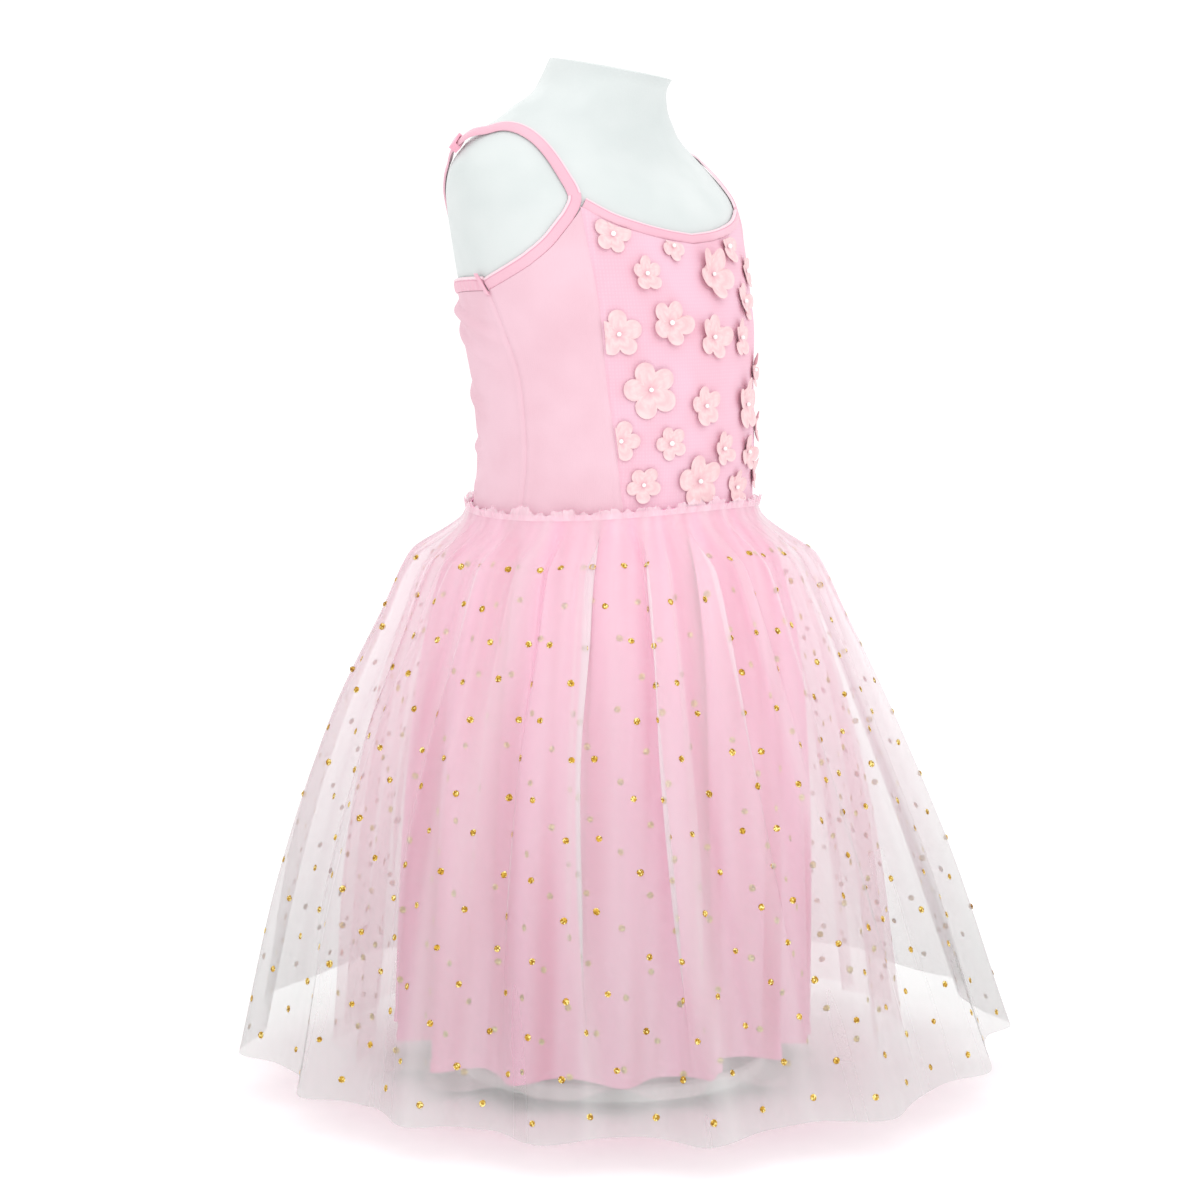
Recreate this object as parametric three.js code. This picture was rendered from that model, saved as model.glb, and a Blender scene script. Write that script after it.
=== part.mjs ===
// Child's princess dress on a limbless dress form: a close bodice with fabric flowers, thin straps,
// a satin underskirt and two layers of gathered tulle.
// Millimetres, +Z up. The front of the dress faces -Y, so the wearer's left is +X. The origin is the
// middle of the underside of the stand. Around the body an angle is measured in degrees from the
// middle of the front, positive towards the wearer's right.
import * as THREE from 'three';

// Driving dimensions
const SEAM_GAP = 0.3;        // clearance between neighbouring pieces
const BODY_GAP = 0.85;       // clearance between the form and the cloth
const BODICE_CLOTH = 1.2;
const BINDING_CLOTH = 1.8;
const STRAP_CLOTH = 1.2;
const STRAP_CROWN = 0.4;     // the strap is a folded tube, so its middle is thicker than its edges
const STRAP_GAP = 0.8;       // clearance between the form and the straps
const SKIRT_CLOTH = 1.0;
const PETAL_CLOTH = 1.0;

const WAIST_SIDE = 358;      // lower edge of the bodice at the side seams
const WAIST_FRONT = 364;     // lower edge of the bodice at the middle of the front and back
const SKIRT_OVERLAP = 8;     // how far the skirt tops reach up over the bodice
const SKIRT_EASE = 0.2;      // more clearance between the bodice and the innermost skirt layer
const NECK_BINDING = 6.8;    // width of the binding along the neckline
const STRAP = 8.5;           // width of the armhole bindings and straps
const BACK_BINDING = 9;      // width of the elastic binding across the back

const ARMHOLE_TOP_ANGLE = 57;  // where the armhole binding leaves the bodice as a strap
const ARMHOLE_SPANS = 17;
const STRAP_SPANS = 42;

const BACK_LOW = 499;        // lower edge of the back binding at the middle of the back
const BACK_RISE = 5.5;       // how much higher that edge is at the sides

const BASE_RADIUS = 100;
const BASE_HEIGHT = 10;
const POLE_RADIUS = 12;
const FORM_BOTTOM = 250;
const MEAN_RADIUS = 95;      // of the body at the bodice
const PANEL_RADIUS = 90;     // of the body behind the front panel
const MID_BODICE = 430;      // height at which the search for a seam starts
const FORM_TOP = 643;
const NECK_SLOPE = 0.16;     // the neck is cut on a slope that falls towards the front
const SHOULDER_TILT = 0.09;  // the wearer's right shoulder stands higher, rise per millimetre of width
const TILT_START = 520;
const TILT_FULL = 600;

// Level sections of the form, all ellipses, from the hips up to the neck
const FORM_SECTIONS = [
  { z: 250, halfWidth: 74, halfDepth: 64, centreY: 2 },
  { z: 262, halfWidth: 89, halfDepth: 79, centreY: 2 },
  { z: 285, halfWidth: 97, halfDepth: 86, centreY: 2 },
  { z: 310, halfWidth: 98, halfDepth: 87, centreY: 2 },
  { z: 340, halfWidth: 95.5, halfDepth: 85.5, centreY: 1 },
  { z: 370, halfWidth: 92, halfDepth: 84, centreY: 0 },
  { z: 404, halfWidth: 91.5, halfDepth: 82.5, centreY: -2.5 },
  { z: 450, halfWidth: 95, halfDepth: 83, centreY: 0.5 },
  { z: 479, halfWidth: 100, halfDepth: 83.5, centreY: 3.4 },
  { z: 504, halfWidth: 104, halfDepth: 80.5, centreY: 7.2 },
  { z: 535, halfWidth: 110, halfDepth: 76, centreY: 12.5 },
  { z: 552, halfWidth: 112, halfDepth: 74, centreY: 15.6 },
  { z: 564, halfWidth: 112, halfDepth: 71, centreY: 18 },
  { z: 576, halfWidth: 109, halfDepth: 62.5, centreY: 20.6 },
  { z: 593, halfWidth: 93.5, halfDepth: 48, centreY: 21.5 },
  { z: 606, halfWidth: 74, halfDepth: 38.5, centreY: 18.7 },
  { z: 614, halfWidth: 64, halfDepth: 37.5, centreY: 16.5 },
  { z: 619, halfWidth: 56, halfDepth: 37, centreY: 14 },
  { z: 627, halfWidth: 46.5, halfDepth: 38, centreY: 10.5 },
  { z: 635, halfWidth: 41.5, halfDepth: 38, centreY: 7 },
  { z: 643, halfWidth: 39.5, halfDepth: 38, centreY: 2 },
];

// Seams of the bodice: the angle of each seam at a few heights
const PRINCESS_SEAM = [
  { z: 358, angle: 43 },
  { z: 399, angle: 48 },
  { z: 447, angle: 51 },
  { z: 498, angle: 51.5 },
  { z: 557, angle: 54.3 },
];
const SIDE_SEAM = [
  { z: 358, angle: 86 },
  { z: 424, angle: 85 },
  { z: 454, angle: 85 },
  { z: 478, angle: 87.5 },
  { z: 506, angle: 91 },
];

// Upper edge of the neckline binding, and lower edge of the armhole binding, angle against height
const NECKLINE = [
  { angle: 0, z: 539 },
  { angle: 17, z: 541.5 },
  { angle: 30, z: 545 },
  { angle: 43, z: 550.5 },
  { angle: 54, z: 559 },
];
const ARMHOLE = [
  { angle: 53, z: 553 },
  { angle: 54.3, z: 550.5 },
  { angle: 56.3, z: 546.5 },
  { angle: 60, z: 539.5 },
  { angle: 65, z: 530.5 },
  { angle: 72.5, z: 521 },
  { angle: 80.5, z: 513 },
  { angle: 91, z: 504.5 },
];

// Middle line of a strap from the top of the neckline over the shoulder to the back binding
const STRAP_PATH = [
  { angle: 55.6, z: 557.5 },
  { angle: 58.4, z: 569 },
  { angle: 64, z: 581.5 },
  { angle: 71, z: 590.5 },
  { angle: 78, z: 595.3 },
  { angle: 84.5, z: 596.5 },
  { angle: 91, z: 593.5 },
  { angle: 99, z: 587 },
  { angle: 110, z: 575 },
  { angle: 122, z: 558 },
  { angle: 132, z: 536 },
  { angle: 139, z: 512.5 },
];
const SIDE_JOIN = 91.1;      // angle where the armhole bindings meet the back binding
const SIDE_JOIN_GAP = 0.2;
const SIDE_JOIN_LEAN = 2.2;  // the joint leans back by this angle over the width of the binding
const SLIDER_ANGLE = 99;     // where the strap slider sits on the back of the shoulder
const SLIDER_LIFT = 2.4;     // the strap is doubled over the slider, so it stands off the form there
const SLIDER_BAR = 1.4;
const SLIDER_LENGTH = 5;

// Skirt layers: the radius through the middle of the folds and the height of the folds, by height.
// Folds grow from nothing at the waist seam. The middle of a layer swings forward, or back where that
// is negative. The hem is not level: it is highest on one side.
const SKIRT_LINING = {
  columns: 80,
  folds: 15,
  gathers: 0,
  wander: 0.35,
  phase: 0.4,
  hem: { z: 15, slant: 4, highest: 45, dip: 1 },
  rows: [
    { z: 354, radius: 99, fold: 0.5, gather: 0, forward: 0 },
    { z: 334, radius: 106, fold: 2, gather: 0, forward: -1 },
    { z: 280, radius: 118, fold: 5, gather: 0, forward: -2 },
    { z: 180, radius: 127, fold: 8, gather: 0, forward: -5 },
    { z: 20, radius: 130, fold: 11, gather: 0, forward: -9.5 },
  ],
};
const SKIRT_TULLE_INNER = {
  columns: 80,
  folds: 16,
  gathers: 0,
  wander: 0.5,
  phase: 2.1,
  hem: { z: 26, slant: 5, highest: -20, dip: 1.5 },
  rows: [
    { z: 354, radius: 104.5, fold: 0.5, gather: 0, forward: 0 },
    { z: 334, radius: 115, fold: 2, gather: 0, forward: 0 },
    { z: 280, radius: 137, fold: 4, gather: 0, forward: 0 },
    { z: 180, radius: 161, fold: 8, gather: 0, forward: 2 },
    { z: 20, radius: 180, fold: 11, gather: 0, forward: 6 },
  ],
};
const SKIRT_TULLE_OUTER = {
  columns: 120,
  folds: 15,
  gathers: 30,
  wander: 0.45,
  phase: 4.0,
  hem: { z: 28.5, slant: 8.5, highest: -131.5, dip: 1.6 },
  rows: [
    { z: 354, radius: 114, fold: 0.5, gather: 1.5, forward: -1 },
    { z: 334, radius: 129, fold: 2, gather: 2, forward: -3 },
    { z: 293, radius: 148, fold: 4, gather: 1.5, forward: -3 },
    { z: 229, radius: 176, fold: 7, gather: 0.5, forward: -4.5 },
    { z: 140, radius: 208, fold: 9, gather: 0, forward: 0 },
    { z: 20, radius: 243, fold: 10, gather: 0, forward: 11 },
  ],
};

// Each layer is sewn from four gores; from is the angle of a gore's first seam
const GORES = [
  { gore: 'front', from: -45 },
  { gore: 'right', from: 45 },
  { gore: 'back', from: 135 },
  { gore: 'left', from: 225 },
];
const FULL_CIRCLE_AT = 335;  // below this height the rings of the skirt are circles
const GATHER_DEPTH = 6;      // the gathering thread runs this far under the upper edge

// Fabric flowers on the front panel: place, radius, turn in degrees and how far the tips stand up
const FLOWERS = [
  { angle: 43.5, z: 537, radius: 11.5, turn: 3, tips: 1.5 },
  { angle: 14.5, z: 530.5, radius: 10, turn: 54, tips: 1.5 },
  { angle: 31, z: 514, radius: 11, turn: 20, tips: 3.5 },
  { angle: -8, z: 513, radius: 17, turn: 50, tips: 5 },
  { angle: -28, z: 531, radius: 12, turn: 10, tips: 3 },
  { angle: -45, z: 515, radius: 11, turn: 40, tips: 3 },
  { angle: -32, z: 496, radius: 12, turn: 70, tips: 2.5 },
  { angle: 45.5, z: 478, radius: 14.5, turn: 18, tips: 2 },
  { angle: 23, z: 484, radius: 14, turn: 60, tips: 4.5 },
  { angle: 0.5, z: 475, radius: 14, turn: 0, tips: 4 },
  { angle: -21, z: 474, radius: 12, turn: 20, tips: 3 },
  { angle: -41, z: 453, radius: 12, turn: 50, tips: 3 },
  { angle: 34, z: 444, radius: 18.5, turn: 36, tips: 2 },
  { angle: 7.5, z: 433, radius: 13, turn: 28, tips: 2.5 },
  { angle: -25, z: 432, radius: 17, turn: 15, tips: 4 },
  { angle: 47, z: 413, radius: 12.5, turn: 0, tips: 2 },
  { angle: 26, z: 411, radius: 11, turn: 40, tips: 2 },
  { angle: -3, z: 406, radius: 11, turn: 35, tips: 2.5 },
  { angle: -25.5, z: 402, radius: 11.5, turn: 60, tips: 3 },
  { angle: 37.5, z: 386, radius: 11.5, turn: 54, tips: 1.5 },
  { angle: 11.5, z: 387, radius: 17, turn: 30, tips: 3 },
  { angle: -13.5, z: 381, radius: 12, turn: 10, tips: 2.5 },
  { angle: -44, z: 416, radius: 11, turn: 20, tips: 2.5 },
  { angle: -38, z: 388, radius: 10.5, turn: 45, tips: 2 },
];
const FLOWER_PETALS = 5;
const POINTS_PER_PETAL = 5;
const FLOWER_LIFT = 0.3;     // gap between the middle of a flower and the panel
const FLOWER_SEAM_GAP = 0.8; // a flower ends this far short of a seam, a binding or the skirt

// Outside of each layer, measured outwards from the form
const BODICE_OUT = BODY_GAP + BODICE_CLOTH;
const BINDING_OUT = BODY_GAP + BINDING_CLOTH;

const MATERIALS = {
  jersey: new THREE.MeshStandardMaterial({ color: 0xf9c9dd, roughness: 0.75 }),
  frontPanel: new THREE.MeshStandardMaterial({ color: 0xf6c6df, roughness: 0.7 }),
  binding: new THREE.MeshStandardMaterial({ color: 0xfbbfd8, roughness: 0.6 }),
  satin: new THREE.MeshStandardMaterial({ color: 0xf5a9d0, roughness: 0.35 }),
  tulle: new THREE.MeshStandardMaterial({ color: 0xf6eef0, roughness: 0.8 }),
  petal: new THREE.MeshStandardMaterial({ color: 0xf8dadb, roughness: 0.7 }),
  slider: new THREE.MeshStandardMaterial({ color: 0xe6a2b4, roughness: 0.3 }),
  form: new THREE.MeshStandardMaterial({ color: 0xf2f4f2, roughness: 0.5 }),
  stand: new THREE.MeshStandardMaterial({ color: 0xe8e8e6, roughness: 0.35, metalness: 0.2 }),
};

const radians = THREE.MathUtils.degToRad;
const degrees = THREE.MathUtils.radToDeg;
const clamp = THREE.MathUtils.clamp;
const lerp = THREE.MathUtils.lerp;
const smoothstep = THREE.MathUtils.smoothstep;

// Smooth curve through one column of a table, against another column that rises
function through(rows, key, value, along = 'z') {
  const at = clamp(value, rows[0][along], rows[rows.length - 1][along]);
  let i = rows.findIndex((row) => row[along] > at) - 1;
  if (i < 0) i = rows.length - 2;
  const slope = (k) => (rows[k + 1][key] - rows[k][key]) / (rows[k + 1][along] - rows[k][along]);
  const tangent = (k) => {
    if (k === 0) return slope(0);
    if (k === rows.length - 1) return slope(k - 1);
    return (slope(k - 1) + slope(k)) / 2;
  };
  const width = rows[i + 1][along] - rows[i][along];
  const t = (at - rows[i][along]) / width;
  const start = rows[i][key] * (2 * t ** 3 - 3 * t ** 2 + 1) + rows[i + 1][key] * (3 * t ** 2 - 2 * t ** 3);
  return start + width * (tangent(i) * (t ** 3 - 2 * t ** 2 + t) + tangent(i + 1) * (t ** 3 - t ** 2));
}

// Point on the form at an angle from the front and a height, before the shoulders are tilted
function sectionPoint(angle, z) {
  const sine = Math.sin(angle);
  const cosine = Math.cos(angle);
  const halfWidth = through(FORM_SECTIONS, 'halfWidth', z);
  const halfDepth = through(FORM_SECTIONS, 'halfDepth', z);
  const reach = 1 / Math.hypot(sine / halfWidth, cosine / halfDepth);
  return new THREE.Vector3(-reach * sine, through(FORM_SECTIONS, 'centreY', z) - reach * cosine, z);
}

// Outward direction of the form's surface there
function sectionNormal(angle, z) {
  const step = 0.001;
  const around = sectionPoint(angle + step, z).sub(sectionPoint(angle - step, z));
  const up = sectionPoint(angle, z + step).sub(sectionPoint(angle, z - step));
  return up.cross(around).normalize();
}

function tiltShoulders(point) {
  const share = clamp((point.z - TILT_START) / (TILT_FULL - TILT_START), 0, 1);
  point.z -= SHOULDER_TILT * share * point.x;
  return point;
}

// Point at a distance outside the form; the angle is in degrees
function onBody(angle, z, out) {
  const turn = radians(angle);
  return tiltShoulders(sectionPoint(turn, z).addScaledVector(sectionNormal(turn, z), out));
}

function bodyNormal(angle, z) {
  const along = onBody(angle + 0.05, z, 0).sub(onBody(angle - 0.05, z, 0));
  const up = onBody(angle, z + 0.05, 0).sub(onBody(angle, z - 0.05, 0));
  return up.cross(along).normalize();
}

// Closed body from a list of points and a list of faces of three or four corners each
function solid(points, faces) {
  const index = [];
  faces.forEach((face) => {
    for (let k = 2; k < face.length; k += 1) index.push(face[0], face[k - 1], face[k]);
  });
  const geometry = new THREE.BufferGeometry();
  const positions = points.flatMap((point) => point.toArray());
  geometry.setAttribute('position', new THREE.Float32BufferAttribute(positions, 3));
  geometry.setIndex(index);
  let volume = 0;
  for (let k = 0; k < index.length; k += 3) {
    const [a, b, c] = [points[index[k]], points[index[k + 1]], points[index[k + 2]]];
    volume += a.dot(b.clone().cross(c));
  }
  if (volume < 0) geometry.setIndex(index.reverse());
  geometry.computeVertexNormals();
  return geometry;
}

// Wall of cloth between two grids of points, outer[row][column] and inner[row][column]
function wall(outer, inner) {
  const rows = outer.length;
  const columns = outer[0].length;
  const points = [...outer.flat(), ...inner.flat()];
  const inside = rows * columns;
  const at = (row, column, side) => row * columns + column + side * inside;
  const faces = [];
  for (let column = 0; column < columns - 1; column += 1) {
    for (let row = 0; row < rows - 1; row += 1) {
      const corners = [[row, column], [row, column + 1], [row + 1, column + 1], [row + 1, column]];
      faces.push(corners.map(([r, c]) => at(r, c, 0)));
      faces.push(corners.reverse().map(([r, c]) => at(r, c, 1)));
    }
    faces.push([at(0, column + 1, 0), at(0, column, 0), at(0, column, 1), at(0, column + 1, 1)]);
    const last = rows - 1;
    faces.push([at(last, column, 0), at(last, column + 1, 0), at(last, column + 1, 1), at(last, column, 1)]);
  }
  const end = columns - 1;
  for (let row = 0; row < rows - 1; row += 1) {
    faces.push([at(row, 0, 0), at(row + 1, 0, 0), at(row + 1, 0, 1), at(row, 0, 1)]);
    faces.push([at(row + 1, end, 0), at(row, end, 0), at(row, end, 1), at(row + 1, end, 1)]);
  }
  return solid(points, faces);
}

function grid(rows, columns, point) {
  const line = (row) => Array.from({ length: columns }, (_, column) => point(row, column));
  return Array.from({ length: rows }, (_, row) => line(row));
}

function piece(name, geometry, material) {
  const mesh = new THREE.Mesh(geometry, material);
  mesh.name = name;
  return mesh;
}

// Lower edge of the bodice, a little lower at the side seams
const waist = (angle) => lerp(WAIST_FRONT, WAIST_SIDE, Math.sin(radians(angle)) ** 2);
const princessAngle = (z) => through(PRINCESS_SEAM, 'angle', z);
const sideAngle = (z) => through(SIDE_SEAM, 'angle', z);
const neckline = (angle) => through(NECKLINE, 'z', Math.abs(angle), 'angle');
const armhole = (angle) => through(ARMHOLE, 'z', Math.abs(angle), 'angle');
const backEdge = (angle) => BACK_LOW + BACK_RISE * Math.sin(radians(angle)) ** 4;

// Bodice panel between two seams. fromAngle and toAngle give the seam's angle at a height, top gives
// the height of the upper edge at an angle.
function bodicePanel(columns, rows, fromAngle, toAngle, top) {
  const seamShare = degrees(SEAM_GAP / 2 / MEAN_RADIUS);
  const place = (row, column) => {
    const across = column / (columns - 1);
    const up = row / (rows - 1);
    let angle = lerp(fromAngle(MID_BODICE), toAngle(MID_BODICE), across);
    let z = MID_BODICE;
    for (let pass = 0; pass < 12; pass += 1) {
      z = lerp(waist(angle), top(angle), up);
      angle = lerp(fromAngle(z) + seamShare, toAngle(z) - seamShare, across);
    }
    return { angle, z };
  };
  const places = grid(rows, columns, place);
  const outer = places.map((row) => row.map(({ angle, z }) => onBody(angle, z, BODICE_OUT)));
  const inner = places.map((row) => row.map(({ angle, z }) => onBody(angle, z, BODY_GAP)));
  return wall(outer, inner);
}

// Height lost when a gap is kept at right angles to an edge that slopes
function gapBelow(edge, angle) {
  const rise = (edge(angle + 0.5) - edge(angle - 0.5)) / (radians(1) * MEAN_RADIUS);
  return SEAM_GAP * Math.hypot(1, rise);
}
const underNeckline = (angle) => neckline(angle) - NECK_BINDING - SEAM_GAP;
const underArmhole = (angle) => armhole(angle) - gapBelow(armhole, angle);
const underBackBinding = (angle) => backEdge(angle) - SEAM_GAP;

// Flat band that lies on the form: its middle line is a list of places, lift is its height over the
// form at each of them, and a slight crown makes its middle thicker than its edges
function band(places, width, lift, cloth, crown) {
  const middle = places.map(({ angle, z }) => onBody(angle, z, 0));
  const across = middle.map((point, i) => {
    const along = middle[Math.min(i + 1, middle.length - 1)].clone().sub(middle[Math.max(i - 1, 0)]);
    return along.cross(bodyNormal(places[i].angle, places[i].z)).normalize();
  });
  const cross = [-1, 0, 1];
  const place = (share) => middle.map((point, i) => {
    const wanted = point.clone().addScaledVector(across[i], share * width / 2);
    return nearestPlace(wanted, places[i]);
  });
  const lines = cross.map(place);
  const skin = (out) => lines.map((line, k) => line.map(({ angle, z }, i) => {
    const rise = lift(i) + (out ? cloth + crown * (1 - Math.abs(cross[k])) : 0);
    return onBody(angle, z, rise);
  }));
  return wall(skin(true), skin(false));
}

// Angle and height on the form nearest to a point, found by Newton steps from a place close by
function nearestPlace(point, { angle, z }) {
  let place = { angle, z };
  for (let pass = 0; pass < 8; pass += 1) {
    const here = onBody(place.angle, place.z, 0);
    const around = onBody(place.angle + 0.1, place.z, 0).sub(here).multiplyScalar(10);
    const up = onBody(place.angle, place.z + 0.1, 0).sub(here).multiplyScalar(10);
    const miss = point.clone().sub(here);
    const [aa, au, uu] = [around.dot(around), around.dot(up), up.dot(up)];
    const [ma, mu] = [miss.dot(around), miss.dot(up)];
    const determinant = aa * uu - au * au;
    place = {
      angle: place.angle + (ma * uu - mu * au) / determinant,
      z: place.z + (mu * aa - ma * au) / determinant,
    };
  }
  return place;
}

// Even places along a table of places
function along(rows, count) {
  const curve = new THREE.CatmullRomCurve3(rows.map(({ angle, z }) => new THREE.Vector3(angle, z, 0)));
  return curve.getSpacedPoints(count).map((point) => ({ angle: point.x, z: point.y }));
}

// The armhole binding runs on as the strap over the shoulder. Its lower edge keeps to the armhole, so
// its middle line is that edge moved up by half its width, and then the strap path.
function strapPlaces(side) {
  const armholeEdge = (angle) => onBody(side * angle, armhole(angle), 0);
  const armholePart = Array.from({ length: ARMHOLE_SPANS + 1 }, (_, i) => {
    const angle = lerp(SIDE_JOIN - SIDE_JOIN_GAP, ARMHOLE_TOP_ANGLE, i / ARMHOLE_SPANS);
    const direction = armholeEdge(angle - 0.2).sub(armholeEdge(angle + 0.2));
    const across = direction.cross(bodyNormal(side * angle, armhole(angle))).normalize();
    const middle = armholeEdge(angle).addScaledVector(across, Math.sign(across.z) * STRAP / 2);
    return nearestPlace(middle, { angle: side * angle, z: armhole(angle) });
  });
  const shoulderPart = STRAP_PATH.map(({ angle, z }) => ({ angle: side * angle, z }));
  return along([...armholePart, ...shoulderPart], STRAP_SPANS);
}

function strap(side) {
  const places = strapPlaces(side);
  const sliderAt = sliderStation(places, side);
  const lift = (i) => STRAP_GAP + SLIDER_LIFT * smoothstep(3 - Math.abs(i - sliderAt), 0, 2);
  return band(places, STRAP, lift, STRAP_CLOTH, STRAP_CROWN);
}

function sliderStation(places, side) {
  return places.findIndex(({ angle }) => side * angle > SLIDER_ANGLE);
}

// Slider on the strap: a flat frame whose slot the strap passes through
function slider(side) {
  const places = strapPlaces(side);
  const i = sliderStation(places, side);
  const slotHeight = STRAP_CLOTH + STRAP_CROWN + 4 * SEAM_GAP;
  const slotWidth = STRAP + 3 * SEAM_GAP;
  const frame = new THREE.Shape();
  const [w, h] = [slotWidth / 2 + SLIDER_BAR, slotHeight / 2 + SLIDER_BAR];
  frame.moveTo(-w, -h).lineTo(w, -h).lineTo(w, h).lineTo(-w, h).closePath();
  const slot = new THREE.Path();
  const [sw, sh] = [slotWidth / 2, slotHeight / 2];
  slot.moveTo(-sw, -sh).lineTo(-sw, sh).lineTo(sw, sh).lineTo(sw, -sh).closePath();
  frame.holes.push(slot);
  const geometry = new THREE.ExtrudeGeometry(frame, { depth: SLIDER_LENGTH, bevelEnabled: false });
  geometry.translate(0, 0, -SLIDER_LENGTH / 2);
  const here = places[i];
  const normal = bodyNormal(here.angle, here.z);
  const next = onBody(places[i + 1].angle, places[i + 1].z, 0);
  const before = onBody(places[i - 1].angle, places[i - 1].z, 0);
  const forward = next.sub(before).normalize();
  const acrossStrap = forward.clone().cross(normal).normalize().negate();
  const upright = forward.clone().cross(acrossStrap).normalize();
  const middle = onBody(here.angle, here.z, STRAP_GAP + SLIDER_LIFT + (STRAP_CLOTH + STRAP_CROWN) / 2);
  geometry.applyMatrix4(new THREE.Matrix4().makeBasis(acrossStrap, upright, forward).setPosition(middle));
  return geometry;
}

// Binding along the neckline, between the two straps
function neckBinding() {
  const ends = 52.6;
  const places = Array.from({ length: 25 }, (_, i) => {
    const angle = lerp(-ends, ends, i / 24);
    return { angle, z: neckline(angle) };
  });
  const outer = [0, 0.5, 1].map((down) => places.map(({ angle, z }) => (
    onBody(angle, z - down * NECK_BINDING, BINDING_OUT + 0.3 * (down === 0.5)))));
  const inner = [0, 0.5, 1].map((down) => places.map(({ angle, z }) => (
    onBody(angle, z - down * NECK_BINDING, BODY_GAP))));
  return wall(outer, inner);
}

// Elastic binding across the back, from one side seam to the other
function backBinding() {
  const skin = (out) => [0, 0.5, 1].map((up) => Array.from({ length: 29 }, (_, i) => {
    const start = SIDE_JOIN + SIDE_JOIN_GAP + SIDE_JOIN_LEAN * up;
    const angle = lerp(start, 360 - start, i / 28);
    return onBody(angle, backEdge(angle) + up * BACK_BINDING, out + 0.3 * (up === 0.5 && out > BODY_GAP));
  }));
  return wall(skin(BINDING_OUT), skin(BODY_GAP));
}

// Small tab sewn over the joint between the back binding and the armhole binding
function sideTab(side) {
  const halfWidth = 0.8;
  const skin = (out) => [-0.2, 0.5, 1.2].map((up) => [-halfWidth, halfWidth].map((step) => {
    const angle = SIDE_JOIN + SIDE_JOIN_LEAN * up + step;
    return onBody(side * angle, backEdge(angle) + up * BACK_BINDING, out);
  }));
  const inside = BINDING_OUT + 0.3 + SEAM_GAP;
  return wall(skin(inside + 1), skin(inside));
}

// One gore of a skirt layer. Each row is part of a ring that goes from the waist's shape to a circle,
// with folds whose spacing wanders; wallStart is the distance of its outside from the form at the
// waist seam, and from is the angle of its first seam.
function skirtGore(layer, wallStart, from) {
  const { rows, hem } = layer;
  const columns = layer.columns / GORES.length + 1;
  const waistTop = (angle) => waist(angle) + SKIRT_OVERLAP;
  const warped = (angle) => radians(angle) + layer.wander / layer.folds * (
    2.2 * Math.sin(2 * radians(angle) + layer.phase) + 1.6 * Math.sin(3 * radians(angle) + 2 * layer.phase));
  const foldWave = (angle) => {
    const wave = Math.cos(layer.folds * warped(angle) + layer.phase);
    return wave + 0.22 * Math.cos(2 * layer.folds * warped(angle) + 1.3);
  };
  const foldSize = (angle) => 0.8 + 0.2 * Math.sin(4 * radians(angle) + 3 * layer.phase);
  const hemHeight = (angle) => (
    hem.z + hem.slant * Math.cos(radians(angle - hem.highest)) - hem.dip * foldWave(angle));
  const ringPoint = (angle, z) => {
    const top = waistTop(angle);
    const height = Math.min(z, top);
    const atWaist = onBody(angle, height, wallStart);
    const open = smoothstep(top - height, 0, top - FULL_CIRCLE_AT);
    const below = clamp(height, rows[rows.length - 1].z, rows[0].z);
    const falling = (key) => through([...rows].reverse(), key, below);
    const start = clamp((top - height) / (top - rows[0].z), 0, 1);
    const folds = start * falling('fold') * foldSize(angle) * foldWave(angle);
    const gathers = start * falling('gather') * Math.cos(layer.gathers * radians(angle));
    const narrow = lerp(Math.hypot(atWaist.x, atWaist.y), rows[0].radius, start);
    const widening = height > rows[0].z ? narrow : falling('radius');
    const radius = widening + folds + gathers;
    const [sine, cosine] = [Math.sin(radians(angle)), Math.cos(radians(angle))];
    const round = new THREE.Vector3(-radius * sine, -falling('forward') - radius * cosine, height);
    return atWaist.lerp(round, open);
  };
  const heights = [0, GATHER_DEPTH, ...rows.slice(0, -1).map(({ z }) => z), hem.z];
  const place = (row, angle) => {
    const z = heights[row];
    if (row < 2) return ringPoint(angle, waistTop(angle) - z);
    return ringPoint(angle, row === heights.length - 1 ? hemHeight(angle) : z);
  };
  const step = 360 / layer.columns;
  const seamShare = degrees(SEAM_GAP / 2 / rows[0].radius);
  const angles = Array.from({ length: columns }, (_, column) => {
    if (column === 0) return from + seamShare;
    return from + step * column - (column === columns - 1 ? seamShare : 0);
  });
  const outer = heights.map((_, row) => angles.map((angle) => place(row, angle)));
  const inner = outer.map((line, row) => line.map((point, column) => {
    const down = place(Math.min(row + 1, heights.length - 1), angles[column])
      .sub(place(Math.max(row - 1, 0), angles[column]));
    const right = place(row, angles[column] + step).sub(place(row, angles[column] - step));
    const normal = down.cross(right).normalize();
    const outward = Math.sign(normal.x * point.x + normal.y * point.y) || 1;
    return point.clone().addScaledVector(normal, -outward * SKIRT_CLOTH);
  }));
  return wall(outer, inner);
}

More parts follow.
